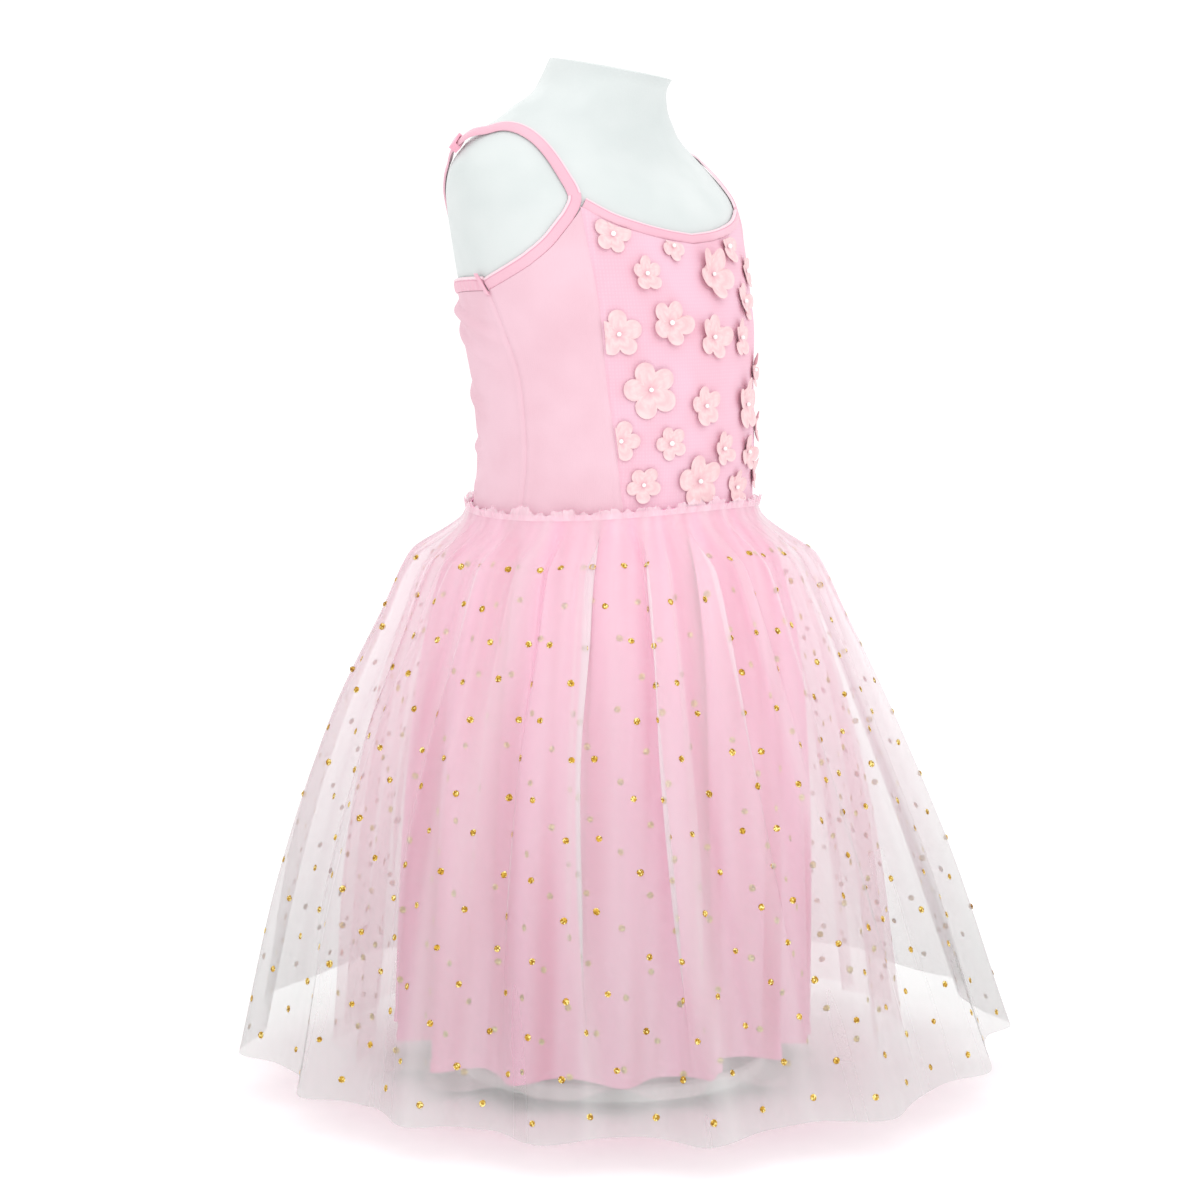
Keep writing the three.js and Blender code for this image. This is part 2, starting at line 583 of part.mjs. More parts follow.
// Flower of five round petals on the front panel, cut off where it meets a seam or a binding
function flower({ angle, z, radius, turn, tips }) {
  const count = FLOWER_PETALS * POINTS_PER_PETAL;
  const halfHeight = radians(1) * PANEL_RADIUS;
  const clearOfEdges = (place) => {
    const seam = princessAngle(place.z) - FLOWER_SEAM_GAP / halfHeight;
    const highest = underNeckline(place.angle) - FLOWER_SEAM_GAP;
    const lowest = waist(place.angle) + SKIRT_OVERLAP + FLOWER_SEAM_GAP;
    return Math.abs(place.angle) < seam && place.z < highest && place.z > lowest;
  };
  const rim = Array.from({ length: count }, (_, i) => {
    const around = 2 * Math.PI * i / count;
    const lobe = Math.abs(Math.cos(FLOWER_PETALS * around / 2)) ** 0.55;
    const direction = around + radians(turn);
    const placeAt = (reach) => ({
      angle: angle - reach * Math.cos(direction) / halfHeight,
      z: z + reach * Math.sin(direction),
    });
    let reach = radius * (0.42 + 0.58 * lobe);
    while (!clearOfEdges(placeAt(reach))) reach *= 0.96;
    return { ...placeAt(reach), up: tips * (reach / radius) ** 2 };
  });
  const low = BODICE_OUT + FLOWER_LIFT;
  const points = [onBody(angle, z, low + PETAL_CLOTH), onBody(angle, z, low)];
  rim.forEach((place) => points.push(onBody(place.angle, place.z, low + PETAL_CLOTH + place.up)));
  rim.forEach((place) => points.push(onBody(place.angle, place.z, low + place.up)));
  const faces = [];
  for (let i = 0; i < count; i += 1) {
    const [here, next] = [2 + i, 2 + (i + 1) % count];
    faces.push([0, here, next], [1, next + count, here + count], [here, here + count, next + count, next]);
  }
  return solid(points, faces);
}

// The form: rings from the hips to the neck, closed flat below and by a low sloping cap above
function formTorso() {
  const segments = 32;
  const heights = FORM_SECTIONS.flatMap(({ z }, i) => {
    const next = FORM_SECTIONS[i + 1];
    return next && next.z - z > 30 ? [z, (z + next.z) / 2] : [z];
  });
  const slope = (point, z) => {
    const share = clamp((z - 627) / (FORM_TOP - 627), 0, 1);
    point.z += NECK_SLOPE * share * (point.y - 2);
    return point;
  };
  const points = heights.flatMap((z) => Array.from({ length: segments }, (_, i) => (
    slope(onBody(360 * i / segments, z, 0), z))));
  const faces = [];
  for (let row = 0; row < heights.length - 1; row += 1) {
    for (let i = 0; i < segments; i += 1) {
      const next = (i + 1) % segments;
      const low = row * segments;
      faces.push([low + i, low + next, low + segments + next, low + segments + i]);
    }
  }
  const bottom = points.push(new THREE.Vector3(0, 2, FORM_BOTTOM)) - 1;
  const top = points.push(new THREE.Vector3(0, 2, FORM_TOP + 1)) - 1;
  const lastRing = (heights.length - 1) * segments;
  for (let i = 0; i < segments; i += 1) {
    const next = (i + 1) % segments;
    faces.push([bottom, next, i], [top, lastRing + i, lastRing + next]);
  }
  return solid(points, faces);
}

// Upright disc or pole from one height to another, with its edge rounded by two small steps
function turned(radius, from, to, edge) {
  const outline = [[0, from], [radius, from], [radius, to - edge], [radius - edge, to], [0, to]];
  const profile = outline.map(([x, y]) => new THREE.Vector2(x, y));
  return new THREE.LatheGeometry(profile, 32).rotateX(Math.PI / 2);
}

const dress = new THREE.Group();
const add = (name, geometry, material) => dress.add(piece(name, geometry, material));

const mirroredPrincess = (z) => -princessAngle(z);
const mirroredSide = (z) => -sideAngle(z);
const sideRoundTheBack = (z) => 360 - sideAngle(z);
add('front_panel', bodicePanel(17, 9, mirroredPrincess, princessAngle, underNeckline), MATERIALS.frontPanel);
add('side_front_right', bodicePanel(8, 9, princessAngle, sideAngle, underArmhole), MATERIALS.jersey);
add('side_front_left', bodicePanel(8, 9, mirroredSide, mirroredPrincess, underArmhole), MATERIALS.jersey);
add('back_panel', bodicePanel(25, 9, sideAngle, sideRoundTheBack, underBackBinding), MATERIALS.jersey);
add('neck_binding', neckBinding(), MATERIALS.binding);
add('back_binding', backBinding(), MATERIALS.binding);

[['right', 1], ['left', -1]].forEach(([name, side]) => {
  add(`strap_${name}`, strap(side), MATERIALS.binding);
  add(`strap_slider_${name}`, slider(side), MATERIALS.slider);
  add(`side_tab_${name}`, sideTab(side), MATERIALS.binding);
});

[
  ['skirt_lining', SKIRT_LINING, MATERIALS.satin],
  ['skirt_tulle_inner', SKIRT_TULLE_INNER, MATERIALS.tulle],
  ['skirt_tulle_outer', SKIRT_TULLE_OUTER, MATERIALS.tulle],
].forEach(([name, layer, material], i) => {
  const wallStart = BODICE_OUT + SKIRT_EASE + (i + 1) * (SEAM_GAP + SKIRT_CLOTH);
  GORES.forEach(({ gore, from }) => add(`${name}_${gore}`, skirtGore(layer, wallStart, from), material));
});

FLOWERS.forEach((row, i) => add(`flower_${String(i + 1).padStart(2, '0')}`, flower(row), MATERIALS.petal));

add('form_torso', formTorso(), MATERIALS.form);
add('form_pole', turned(POLE_RADIUS, BASE_HEIGHT + SEAM_GAP, FORM_BOTTOM - SEAM_GAP, 0.5), MATERIALS.stand);
add('form_base', turned(BASE_RADIUS, 0, BASE_HEIGHT, 2), MATERIALS.stand);

export default dress;
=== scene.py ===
"""Child's princess dress on a limbless dress form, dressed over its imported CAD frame.

The cloth, the flowers, the glitter and the form are worked out here as finer surfaces of the same
shapes as the solids. Lengths are millimetres and angles are degrees from the middle of the front,
positive towards the wearer's right, until a mesh is written in metres.
"""
import logging
import math
from collections.abc import Callable
from dataclasses import dataclass, field
from enum import Enum

import bmesh
import bpy
import numpy as np
from bpy.types import ID, Material, Mesh, NodeSocket, NodeTree, Object
from mathutils import Matrix, Vector


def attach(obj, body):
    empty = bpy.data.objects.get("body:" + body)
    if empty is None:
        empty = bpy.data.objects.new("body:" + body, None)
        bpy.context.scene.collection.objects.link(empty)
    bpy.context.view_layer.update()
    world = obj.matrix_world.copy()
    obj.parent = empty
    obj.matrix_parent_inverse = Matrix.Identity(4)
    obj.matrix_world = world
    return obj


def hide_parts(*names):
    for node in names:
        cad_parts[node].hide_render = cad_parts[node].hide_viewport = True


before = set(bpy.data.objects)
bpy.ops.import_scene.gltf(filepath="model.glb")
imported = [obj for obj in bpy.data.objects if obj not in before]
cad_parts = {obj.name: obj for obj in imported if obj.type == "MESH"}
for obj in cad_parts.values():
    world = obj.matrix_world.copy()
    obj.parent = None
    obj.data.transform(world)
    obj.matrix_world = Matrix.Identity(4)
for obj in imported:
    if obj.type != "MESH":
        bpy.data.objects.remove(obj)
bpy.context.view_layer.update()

log = logging.getLogger("dress")

MM = 0.001
BODY = "root"

# Clearances and cloth as in the part's source
BODY_GAP = 0.85
BODICE_CLOTH = 1.2
BINDING_CLOTH = 1.8
STRAP_CLOTH = 1.2
STRAP_CROWN = 0.4
STRAP_GAP = 0.8
SKIRT_CLOTH = 1.0
SKIRT_EASE = 0.2
SEAM_GAP = 0.3
BODICE_OUT = BODY_GAP + BODICE_CLOTH
SKIRT_OVERLAP = 8.0
FULL_CIRCLE_AT = 335.0
NECK_BINDING = 6.8
STRAP_WIDTH = 8.5
BACK_BINDING = 9.0
SIDE_JOIN = 91.3
SIDE_JOIN_LEAN = 2.2
SLIDER_ANGLE = 99.0
SLIDER_LIFT = 2.4
WAIST_FRONT = 364.0
WAIST_SIDE = 358.0
BACK_EDGE = 499.0
BACK_EDGE_RISE = 5.5

# The shoulders tilt by this much for each millimetre sideways, in full from this far above a height
TILT = 0.09
TILT_FROM = 520.0
TILT_OVER = 80.0

# A degree round the cloth of the bodice, and of the front panel, is taken as wide as at this radius
MEAN_RADIUS = 95.0
PANEL_RADIUS = 90.0

# Level sections of the form: height, half width, half depth, middle from front to back
FORM_SECTIONS = (
    (250, 74, 64, 2), (262, 89, 79, 2), (285, 97, 86, 2), (310, 98, 87, 2), (340, 95.5, 85.5, 1),
    (370, 92, 84, 0), (404, 91.5, 82.5, -2.5), (450, 95, 83, 0.5), (479, 100, 83.5, 3.4),
    (504, 104, 80.5, 7.2), (535, 110, 76, 12.5), (552, 112, 74, 15.6), (564, 112, 71, 18),
    (576, 109, 62.5, 20.6), (593, 93.5, 48, 21.5), (606, 74, 38.5, 18.7), (614, 64, 37.5, 16.5),
    (619, 56, 37, 14), (627, 46.5, 38, 10.5), (635, 41.5, 38, 7), (643, 39.5, 38, 2),
)

# Flowers: angle, height, radius, turn, rise of the tips
FLOWERS = (
    (43.5, 537, 11.5, 3, 1.5), (14.5, 530.5, 10, 54, 1.5), (31, 514, 11, 20, 3.5),
    (-8, 513, 17, 50, 5), (-28, 531, 12, 10, 3), (-45, 515, 11, 40, 3), (-32, 496, 12, 70, 2.5),
    (45.5, 478, 14.5, 18, 2), (23, 484, 14, 60, 4.5), (0.5, 475, 14, 0, 4), (-21, 474, 12, 20, 3),
    (-41, 453, 12, 50, 3), (34, 444, 18.5, 36, 2), (7.5, 433, 13, 28, 2.5), (-25, 432, 17, 15, 4),
    (47, 413, 12.5, 0, 2), (26, 411, 11, 40, 2), (-3, 406, 11, 35, 2.5), (-25.5, 402, 11.5, 60, 3),
    (37.5, 386, 11.5, 54, 1.5), (11.5, 387, 17, 30, 3), (-13.5, 381, 12, 10, 2.5),
    (-44, 416, 11, 20, 2.5), (-38, 388, 10.5, 45, 2),
)


def smooth(low: float, high: float, value: np.ndarray) -> np.ndarray:
    """Rise from 0 at low to 1 at high, level at both ends."""
    share = np.clip((value - low) / (high - low), 0, 1)
    return share * share * (3 - 2 * share)


def stacked(*parts: np.ndarray | float) -> np.ndarray:
    """Spread values over one common grid and put them side by side on the last axis."""
    return np.stack(np.broadcast_arrays(*parts), axis=-1)


def blend(start: np.ndarray, end: np.ndarray, share: np.ndarray) -> np.ndarray:
    """Straight-line mix of two values."""
    return start + (end - start) * share


def unit(vectors: np.ndarray) -> np.ndarray:
    """The same directions with a length of one."""
    return vectors / np.linalg.norm(vectors, axis=-1, keepdims=True)


def bell(share: np.ndarray) -> np.ndarray:
    """Bell curve: 1 at the middle, and under a fiftieth beyond two widths from it."""
    return np.exp(-(share**2))


def apart(angle: np.ndarray, middle: float) -> np.ndarray:
    """Degrees from the middle to each angle, the short way round."""
    return (angle - middle + 180) % 360 - 180


def ring(count: int) -> np.ndarray:
    """Even angles round a ring, in one row."""
    return 360 * np.arange(count)[None, :] / count


def ring_shares(count: int) -> np.ndarray:
    """Share of the way round at each column of a ring and at its end, in one row."""
    return np.arange(count + 1)[None, :] / count


@dataclass(frozen=True)
class Curve:
    """Smooth curve through the rows of a short table."""

    at: tuple[float, ...]
    value: tuple[float, ...]

    def __call__(self, where: np.ndarray | float) -> np.ndarray:
        """Value of the curve: on each span the cubic whose end slopes are its neighbours' average.

        Args:
            where: places along the table, held inside its ends.

        Returns:
            The value at each place.
        """
        at, value = np.array(self.at, float), np.array(self.value, float)
        slopes = np.diff(value) / np.diff(at)
        tangents = np.concatenate([slopes[:1], (slopes[1:] + slopes[:-1]) / 2, slopes[-1:]])
        held = np.clip(where, at[0], at[-1])
        span = np.clip(np.searchsorted(at, held, side="right") - 1, 0, len(slopes) - 1)
        width = at[span + 1] - at[span]
        t = (held - at[span]) / width
        ends = value[span] * (2 * t**3 - 3 * t**2 + 1) + value[span + 1] * (3 * t**2 - 2 * t**3)
        bends = tangents[span] * (t**3 - 2 * t**2 + t) + tangents[span + 1] * (t**3 - t**2)
        return ends + width * bends


PRINCESS_SEAM = Curve((358, 399, 447, 498, 557), (43, 48, 51, 51.5, 54.3))
SIDE_SEAM = Curve((358, 424, 454, 478, 506), (86, 85, 85, 87.5, 91))
NECKLINE = Curve((0, 17, 30, 43, 54), (539, 541.5, 545, 550.5, 559))
ARMHOLE = Curve(
    (53, 54.3, 56.3, 60, 65, 72.5, 80.5, 91), (553, 550.5, 546.5, 539.5, 530.5, 521, 513, 504.5))
STRAP_ANGLES = (55.6, 58.4, 64, 71, 78, 84.5, 91, 99, 110, 122, 132, 139)
STRAP_HEIGHTS = (557.5, 569, 581.5, 590.5, 595.3, 596.5, 593.5, 587, 575, 558, 536, 512.5)


def waist(angle: np.ndarray) -> np.ndarray:
    """Lower edge of the bodice, which falls towards the sides by the squared sine."""
    return blend(WAIST_FRONT, WAIST_SIDE, np.sin(np.radians(angle)) ** 2)


def neckline(angle: np.ndarray) -> np.ndarray:
    """Upper edge of the neckline binding."""
    return NECKLINE(np.abs(angle))


def armhole(angle: np.ndarray) -> np.ndarray:
    """Lower edge of the armhole binding."""
    return ARMHOLE(np.abs(angle))


def back_edge(angle: np.ndarray) -> np.ndarray:
    """Lower edge of the back binding, higher at the sides by the fourth power of the sine."""
    return BACK_EDGE + BACK_EDGE_RISE * np.sin(np.radians(angle)) ** 4


class Form:
    """Outside of the dress form: stacked ellipses with the shoulders tilted."""

    def __init__(self) -> None:
        """Make one curve for each column of the table of sections."""
        heights, widths, depths, middles = zip(*FORM_SECTIONS)
        self.half_width = Curve(heights, widths)
        self.half_depth = Curve(heights, depths)
        self.middle = Curve(heights, middles)

    def section(self, turn: np.ndarray, z: np.ndarray) -> np.ndarray:
        """Point on a level ellipse: its reach is 1 over the length of (sine / width, cosine / depth)."""
        sine, cosine = np.sin(turn), np.cos(turn)
        reach = 1 / np.hypot(sine / self.half_width(z), cosine / self.half_depth(z))
        return np.stack([-reach * sine, self.middle(z) - reach * cosine, z], axis=-1)

    def point(self, angle: np.ndarray, z: np.ndarray, out: np.ndarray | float = 0.0) -> np.ndarray:
        """Point at a distance outside the form, lowered with x where the shoulders tilt.

        Args:
            angle: degrees from the middle of the front.
            z: height before the tilt.
            out: distance along the outward direction, which is up crossed with around.

        Returns:
            Points with x, y and z on the last axis.
        """
        angle, z, out = np.broadcast_arrays(*(np.asarray(part, float) for part in (angle, z, out)))
        turn, step = np.radians(angle), 0.001
        around = self.section(turn + step, z) - self.section(turn - step, z)
        up = self.section(turn, z + step) - self.section(turn, z - step)
        place = self.section(turn, z) + unit(np.cross(up, around)) * out[..., None]
        share = np.clip((place[..., 2] - TILT_FROM) / TILT_OVER, 0, 1)
        place[..., 2] -= TILT * share * place[..., 0]
        return place

    def normal(self, angle: np.ndarray, z: np.ndarray) -> np.ndarray:
        """Outward direction after the tilt, from two short steps on the surface."""
        around = self.point(angle + 0.05, z) - self.point(angle - 0.05, z)
        up = self.point(angle, z + 0.05) - self.point(angle, z - 0.05)
        return unit(np.cross(up, around))

    def nearest(
        self, target: np.ndarray, angle: np.ndarray, z: np.ndarray
    ) -> tuple[np.ndarray, np.ndarray]:
        """Angle and height of the surface point nearest to each target, by Newton steps.

        Args:
            target: points near the surface.
            angle: first guess of each angle.
            z: first guess of each height.

        Returns:
            The angles and the heights.
        """
        for _ in range(8):
            here = self.point(angle, z)
            around = (self.point(angle + 0.1, z) - here) * 10
            up = (self.point(angle, z + 0.1) - here) * 10
            miss = target - here
            aa, au, uu = (around**2).sum(-1), (around * up).sum(-1), (up**2).sum(-1)
            ma, mu = (miss * around).sum(-1), (miss * up).sum(-1)
            determinant = aa * uu - au * au
            angle = angle + (ma * uu - mu * au) / determinant
            z = z + (mu * aa - ma * au) / determinant
        return angle, z


FORM = Form()


def linear(hex_colour: str) -> tuple[float, float, float, float]:
    """Turn an sRGB hex value into a linear colour with full alpha."""
    parts = [int(hex_colour[k:k + 2], 16) / 255 for k in (1, 3, 5)]
    parts = [p / 12.92 if p <= 0.04045 else ((p + 0.055) / 1.055) ** 2.4 for p in parts]
    return (*parts, 1.0)


COLOUR_MIX = {"output": 2, "data_type": "RGBA"}


def add_node(
    tree: NodeTree, kind: str, inputs: dict | None = None, output: int | str = 0, **settings
) -> NodeSocket:
    """Add one node to a material.

    Args:
        tree: the material's node tree.
        kind: the node's type, without the prefix that all of them share.
        inputs: value, hex colour or linked output for each input, by name or number.
        output: which output is wanted, by name or number.
        settings: the node's own settings.

    Returns:
        That output of the new node.
    """
    node = tree.nodes.new("ShaderNode" + kind)
    for name, value in settings.items():
        setattr(node, name, value)
    for name, value in (inputs or {}).items():
        if isinstance(value, NodeSocket):
            tree.links.new(value, node.inputs[name])
        else:
            node.inputs[name].default_value = linear(value) if isinstance(value, str) else value
    return node.outputs[output]


class Place(Enum):
    """Coordinates that a pattern follows."""

    CLOTH = "UV"
    OBJECT = "Object"


@dataclass(frozen=True)
class Finish:
    """A material: its own colours, patterns and shader values.

    A subclass adds its patterns in colour and height, which return node outputs. A colour mix has
    its share at input 0, its colours at 6 and 7 and its result at output 2. A map range has its
    value at 0, the span it comes from at 1 and 2, and the span it goes to, 0 to 1, at 3 and 4.
    """

    title: str
    slot: str
    colours: tuple[str, ...]
    roughness: float = 0.7
    specular: float = 0.4
    metallic: float = 0.0
    sheen: float = 0.0
    alpha: float = 1.0
    bump: float = 0.3
    bump_depth: float = 0.0002

    def noise(self, tree: NodeTree, place: Place, size: float, stretch: tuple = (1, 1, 1),
              detail: float = 2.0, span: tuple | None = None, onto: tuple = (0, 1)) -> NodeSocket:
        """Soft noise.

        Args:
            tree: the material's node tree.
            place: coordinates that it follows.
            size: width of its blots in millimetres.
            stretch: how many times finer it is along each axis.
            detail: how many finer octaves it carries.
            span: values that are stretched onto the next span, if any.
            onto: values that they become.

        Returns:
            The output, with values about 0.5 where there is no span.
        """
        where = add_node(tree, "TexCoord", output=place.value)
        scaled = add_node(tree, "Mapping", {"Vector": where, "Scale": stretch})
        inputs = {"Vector": scaled, "Scale": 1 / (size * MM), "Detail": detail}
        soft = add_node(tree, "TexNoise", inputs, "Fac")
        if span is None:
            return soft
        return add_node(tree, "MapRange", {0: soft, 1: span[0], 2: span[1], 3: onto[0], 4: onto[1]})

    def ribs(self, tree: NodeTree, spacing: float, axis: str, wander: float = 0.0) -> NodeSocket:
        """Even ribs across the cloth, one for each spacing in millimetres.

        Args:
            tree: the material's node tree.
            spacing: distance from rib to rib.
            axis: X for ribs side by side along the cloth's width, Y for rows one above the other.
            wander: how far noise moves the ribs.

        Returns:
            The output, from 0 between ribs to 1 on them.
        """
        where = add_node(tree, "TexCoord", output="UV")
        at_scale_one = math.pi / 10     # distance between the ribs of the plain pattern
        wave = {"Vector": where, "Scale": at_scale_one / (spacing * MM), "Distortion": wander}
        return add_node(tree, "TexWave", wave, "Fac", bands_direction=axis)

    def colour(self, tree: NodeTree) -> NodeSocket:
        """Colour of the surface: broad soft blots of the first two colours."""
        blots = self.noise(tree, Place.OBJECT, 45, span=(0.35, 0.65))
        return add_node(tree, "Mix", {0: blots, 6: self.colours[0], 7: self.colours[1]}, **COLOUR_MIX)

    def height(self, tree: NodeTree) -> NodeSocket:
        """Height of the fine relief: a grain of about a millimetre."""
        return self.noise(tree, Place.OBJECT, 1.2)

    def rough(self, tree: NodeTree) -> NodeSocket:
        """Roughness: the typical value, a little uneven."""
        onto = (self.roughness - 0.06, self.roughness + 0.06)
        return self.noise(tree, Place.OBJECT, 9, span=(0.3, 0.7), onto=onto)

    def cover(self, tree: NodeTree) -> NodeSocket | float:
        """Share of the surface that isn't see-through."""
        return self.alpha

    def build(self) -> Material:
        """Make the material from its colour, roughness, height and cover."""
        material = bpy.data.materials.new(self.title)
        material.use_nodes = True
        tree = material.node_tree
        tree.nodes.clear()
        bump = {"Strength": self.bump, "Distance": self.bump_depth, "Height": self.height(tree)}
        shader = add_node(tree, "BsdfPrincipled", {
            "Base Color": self.colour(tree),
            "Roughness": self.rough(tree),
            "Specular IOR Level": self.specular,
            "Metallic": self.metallic,
            "Sheen Weight": self.sheen,
            "Alpha": self.cover(tree),
            "Normal": add_node(tree, "Bump", bump),
        })
        tree.links.new(shader, tree.nodes.new("ShaderNodeOutputMaterial").inputs[0])
        return material


@dataclass(frozen=True)
class Jersey(Finish):
    """Brushed polyester jersey: matt and even, with faint knit ribs."""

    rib: float = 1.4        # the real ribs are 0.6 mm, too fine for the picture

    def height(self, tree: NodeTree) -> NodeSocket:
        """Knit ribs crossed by rows of stitches, with a little fuzz."""
        ribs, rows = self.ribs(tree, self.rib, "X", 0.6), self.ribs(tree, self.rib * 0.8, "Y", 0.6)
        fuzz = self.noise(tree, Place.OBJECT, 0.9)
        fuzzy = add_node(tree, "Math", {0: rows, 1: 0.3, 2: fuzz}, operation="MULTIPLY_ADD")
        return add_node(tree, "Math", {0: ribs, 1: 0.5, 2: fuzzy}, operation="MULTIPLY_ADD")


@dataclass(frozen=True)
class NetOverJersey(Jersey):
    """Fine lilac net laid over pink jersey: cooler blots where the net lifts off the jersey."""

    net: float = 2.2        # the real meshes are 0.8 mm, too fine for the picture

    def colour(self, tree: NodeTree) -> NodeSocket:
        """Pink jersey and lilac net in blots of 34 mm, with the threads of the net in the lightest."""
        blots = self.noise(tree, Place.OBJECT, 34, span=(0.38, 0.62))
        base = add_node(tree, "Mix", {0: blots, 6: self.colours[0], 7: self.colours[1]}, **COLOUR_MIX)
        across, down = self.ribs(tree, self.net, "X"), self.ribs(tree, self.net, "Y")
        threads = add_node(tree, "Math", {0: across, 1: down}, operation="MULTIPLY")
        faint = add_node(tree, "Math", {0: threads, 1: 0.22}, operation="MULTIPLY")
        return add_node(tree, "Mix", {0: faint, 6: base, 7: self.colours[2]}, **COLOUR_MIX)


@dataclass(frozen=True)
class BindingTape(Finish):
    """Folded elastic tape: soft shine, cross ribs, painted highlight on the edge, painted shadow line."""

    rib: float = 1.1
    groove: float = 0.24    # place of the painted shadow line over the groove, as a share of the tape's width

    def colour(self, tree: NodeTree) -> NodeSocket:
        """Tape colour, then a painted highlight on the edge's ridge and a painted shadow line by it."""
        body = super().colour(tree)
        across = add_node(tree, "SeparateXYZ", {0: add_node(tree, "TexCoord", output="UV")}, 1)
        aside = add_node(tree, "Math", {0: across, 1: self.groove}, operation="SUBTRACT")
        off_shadow_line = add_node(tree, "Math", {0: aside}, operation="ABSOLUTE")
        # painted shadow: the fourth colour, a deeper pink, runs as a line over the tape's groove
        line = add_node(tree, "MapRange", {0: off_shadow_line, 1: 0.05, 2: 0.02, 4: 0.75})
        sewn = add_node(tree, "Mix", {0: line, 6: body, 7: self.colours[3]}, **COLOUR_MIX)
        # painted highlight: the third colour, the lightest, lies on the ridge along the edge
        edge = add_node(tree, "MapRange", {0: across, 1: 0.2, 2: 0.15})
        return add_node(tree, "Mix", {0: edge, 6: sewn, 7: self.colours[2]}, **COLOUR_MIX)

    def height(self, tree: NodeTree) -> NodeSocket:
        """Cross ribs along the tape with a little grain."""
        grain = self.noise(tree, Place.OBJECT, 0.8)
        ribs = self.ribs(tree, self.rib, "X", 0.4)
        return add_node(tree, "Math", {0: grain, 1: 0.6, 2: ribs}, operation="MULTIPLY_ADD")


@dataclass(frozen=True)
class Satin(Finish):
    """Polyester satin: a soft shine, painted fold shade in streaks down it, slubs in the weft round it."""

    slub: float = 1.6       # the real slubs are 0.5 mm high, too fine for the picture
    along_weft: tuple = (0.08, 1, 1)

    def colour(self, tree: NodeTree) -> NodeSocket:
        """Long streaks of two pinks down the cloth, the deeper one painted fold shade, crossed by thin
        lighter slubs.
        """
        onto = (0, 0.35)
        slubs = self.noise(tree, Place.CLOTH, self.slub, self.along_weft, 3, (0.52, 0.75), onto)
        # painted shade: streaks of the deeper first pink stand in for the shade in the lining's folds
        streaks = self.noise(tree, Place.CLOTH, 34, (1, 0.1, 1), 1, (0.36, 0.58))
        fold_shaded = add_node(tree, "Mix", {0: streaks, 6: self.colours[0], 7: self.colours[1]}, **COLOUR_MIX)
        return add_node(tree, "Mix", {0: slubs, 6: fold_shaded, 7: self.colours[2]}, **COLOUR_MIX)

    def height(self, tree: NodeTree) -> NodeSocket:
        """The slubs, which stand up a little."""
        return self.noise(tree, Place.CLOTH, self.slub, self.along_weft, 3)


@dataclass(frozen=True)
class Tulle(Finish):
    """Soft nylon net: see-through and matt, denser where the gathers press its threads together.

    Its colour turns from the waist's to the hem's: the pink at the waist is painted pink light from
    the lining close under the net, and the duller colour at the hem is painted shade.
    """

    gathered: float = 0.5       # share that the net covers at the waist
    gathered_length: float = 0.16       # the gathers have opened this far down, in metres
    streak: float = 0.3         # how much more the net covers in a streak
    fading: tuple[float, float] = (0.06, 0.3)   # between these, in metres, the painted pink light turns into the painted shade

    def streaks(self, tree: NodeTree, onto: tuple = (0, 1)) -> NodeSocket:
        """Long streaks down the cloth, 26 mm wide and twenty-five times longer."""
        return self.noise(tree, Place.CLOTH, 26, (1, 0.04, 1), 1, (0.3, 0.7), onto)

    def down(self, tree: NodeTree) -> NodeSocket:
        """Distance from the waist down the cloth, in metres."""
        return add_node(tree, "SeparateXYZ", {0: add_node(tree, "TexCoord", output="UV")}, 1)

    def colour(self, tree: NodeTree) -> NodeSocket:
        """The waist's painted pink light fades into the hem's painted shade, and streaks are lighter."""
        # painted light: the first colour is pink light from the lining, the second painted shade at the hem
        painted_pink_light, painted_hem_shade, light = self.colours
        turned = add_node(tree, "MapRange", {0: self.down(tree), 1: self.fading[0], 2: self.fading[1]})
        fallen = add_node(tree, "Mix", {0: turned, 6: painted_pink_light, 7: painted_hem_shade}, **COLOUR_MIX)
        share = self.streaks(tree, (0, 0.5))
        return add_node(tree, "Mix", {0: share, 6: fallen, 7: light}, **COLOUR_MIX)

    def height(self, tree: NodeTree) -> NodeSocket:
        """Creases along the streaks."""
        return self.streaks(tree)

    def cover(self, tree: NodeTree) -> NodeSocket:
        """Share that the threads cover: most at the waist, even further down, more in a streak."""
        opening = {0: self.down(tree), 1: 0.0, 2: self.gathered_length, 3: self.gathered, 4: self.alpha}
        even = add_node(tree, "MapRange", opening)
        more = self.streaks(tree, (1 - self.streak / 2, 1 + self.streak))
        return add_node(tree, "Math", {0: even, 1: more}, operation="MULTIPLY")


@dataclass(frozen=True)
class Petal(Finish):
    """Cut chiffon petals: pale, matt, deeper at the heart, with faint veins from the heart out."""

    def veins(self, tree: NodeTree, span: tuple | None = None) -> NodeSocket:
        """Noise drawn out from the heart to the rim."""
        return self.noise(tree, Place.CLOTH, 14, (1, 0.05, 1), 2, span)

    def colour(self, tree: NodeTree) -> NodeSocket:
        """From the heart's colour to the rim's over the first half, crossed by the veins."""
        heart, low, high = self.colours
        reach = add_node(tree, "SeparateXYZ", {0: add_node(tree, "TexCoord", output="UV")}, 1)
        outward = add_node(tree, "MapRange", {0: reach, 1: 0.0, 2: 0.45})
        veins = self.veins(tree, (0.35, 0.65))
        rim = add_node(tree, "Mix", {0: veins, 6: low, 7: high}, **COLOUR_MIX)
        return add_node(tree, "Mix", {0: outward, 6: heart, 7: rim}, **COLOUR_MIX)

    def height(self, tree: NodeTree) -> NodeSocket:
        """Veins with a fine grain."""
        grain = self.noise(tree, Place.OBJECT, 0.8)
        return add_node(tree, "Math", {0: self.veins(tree), 1: grain}, operation="ADD")


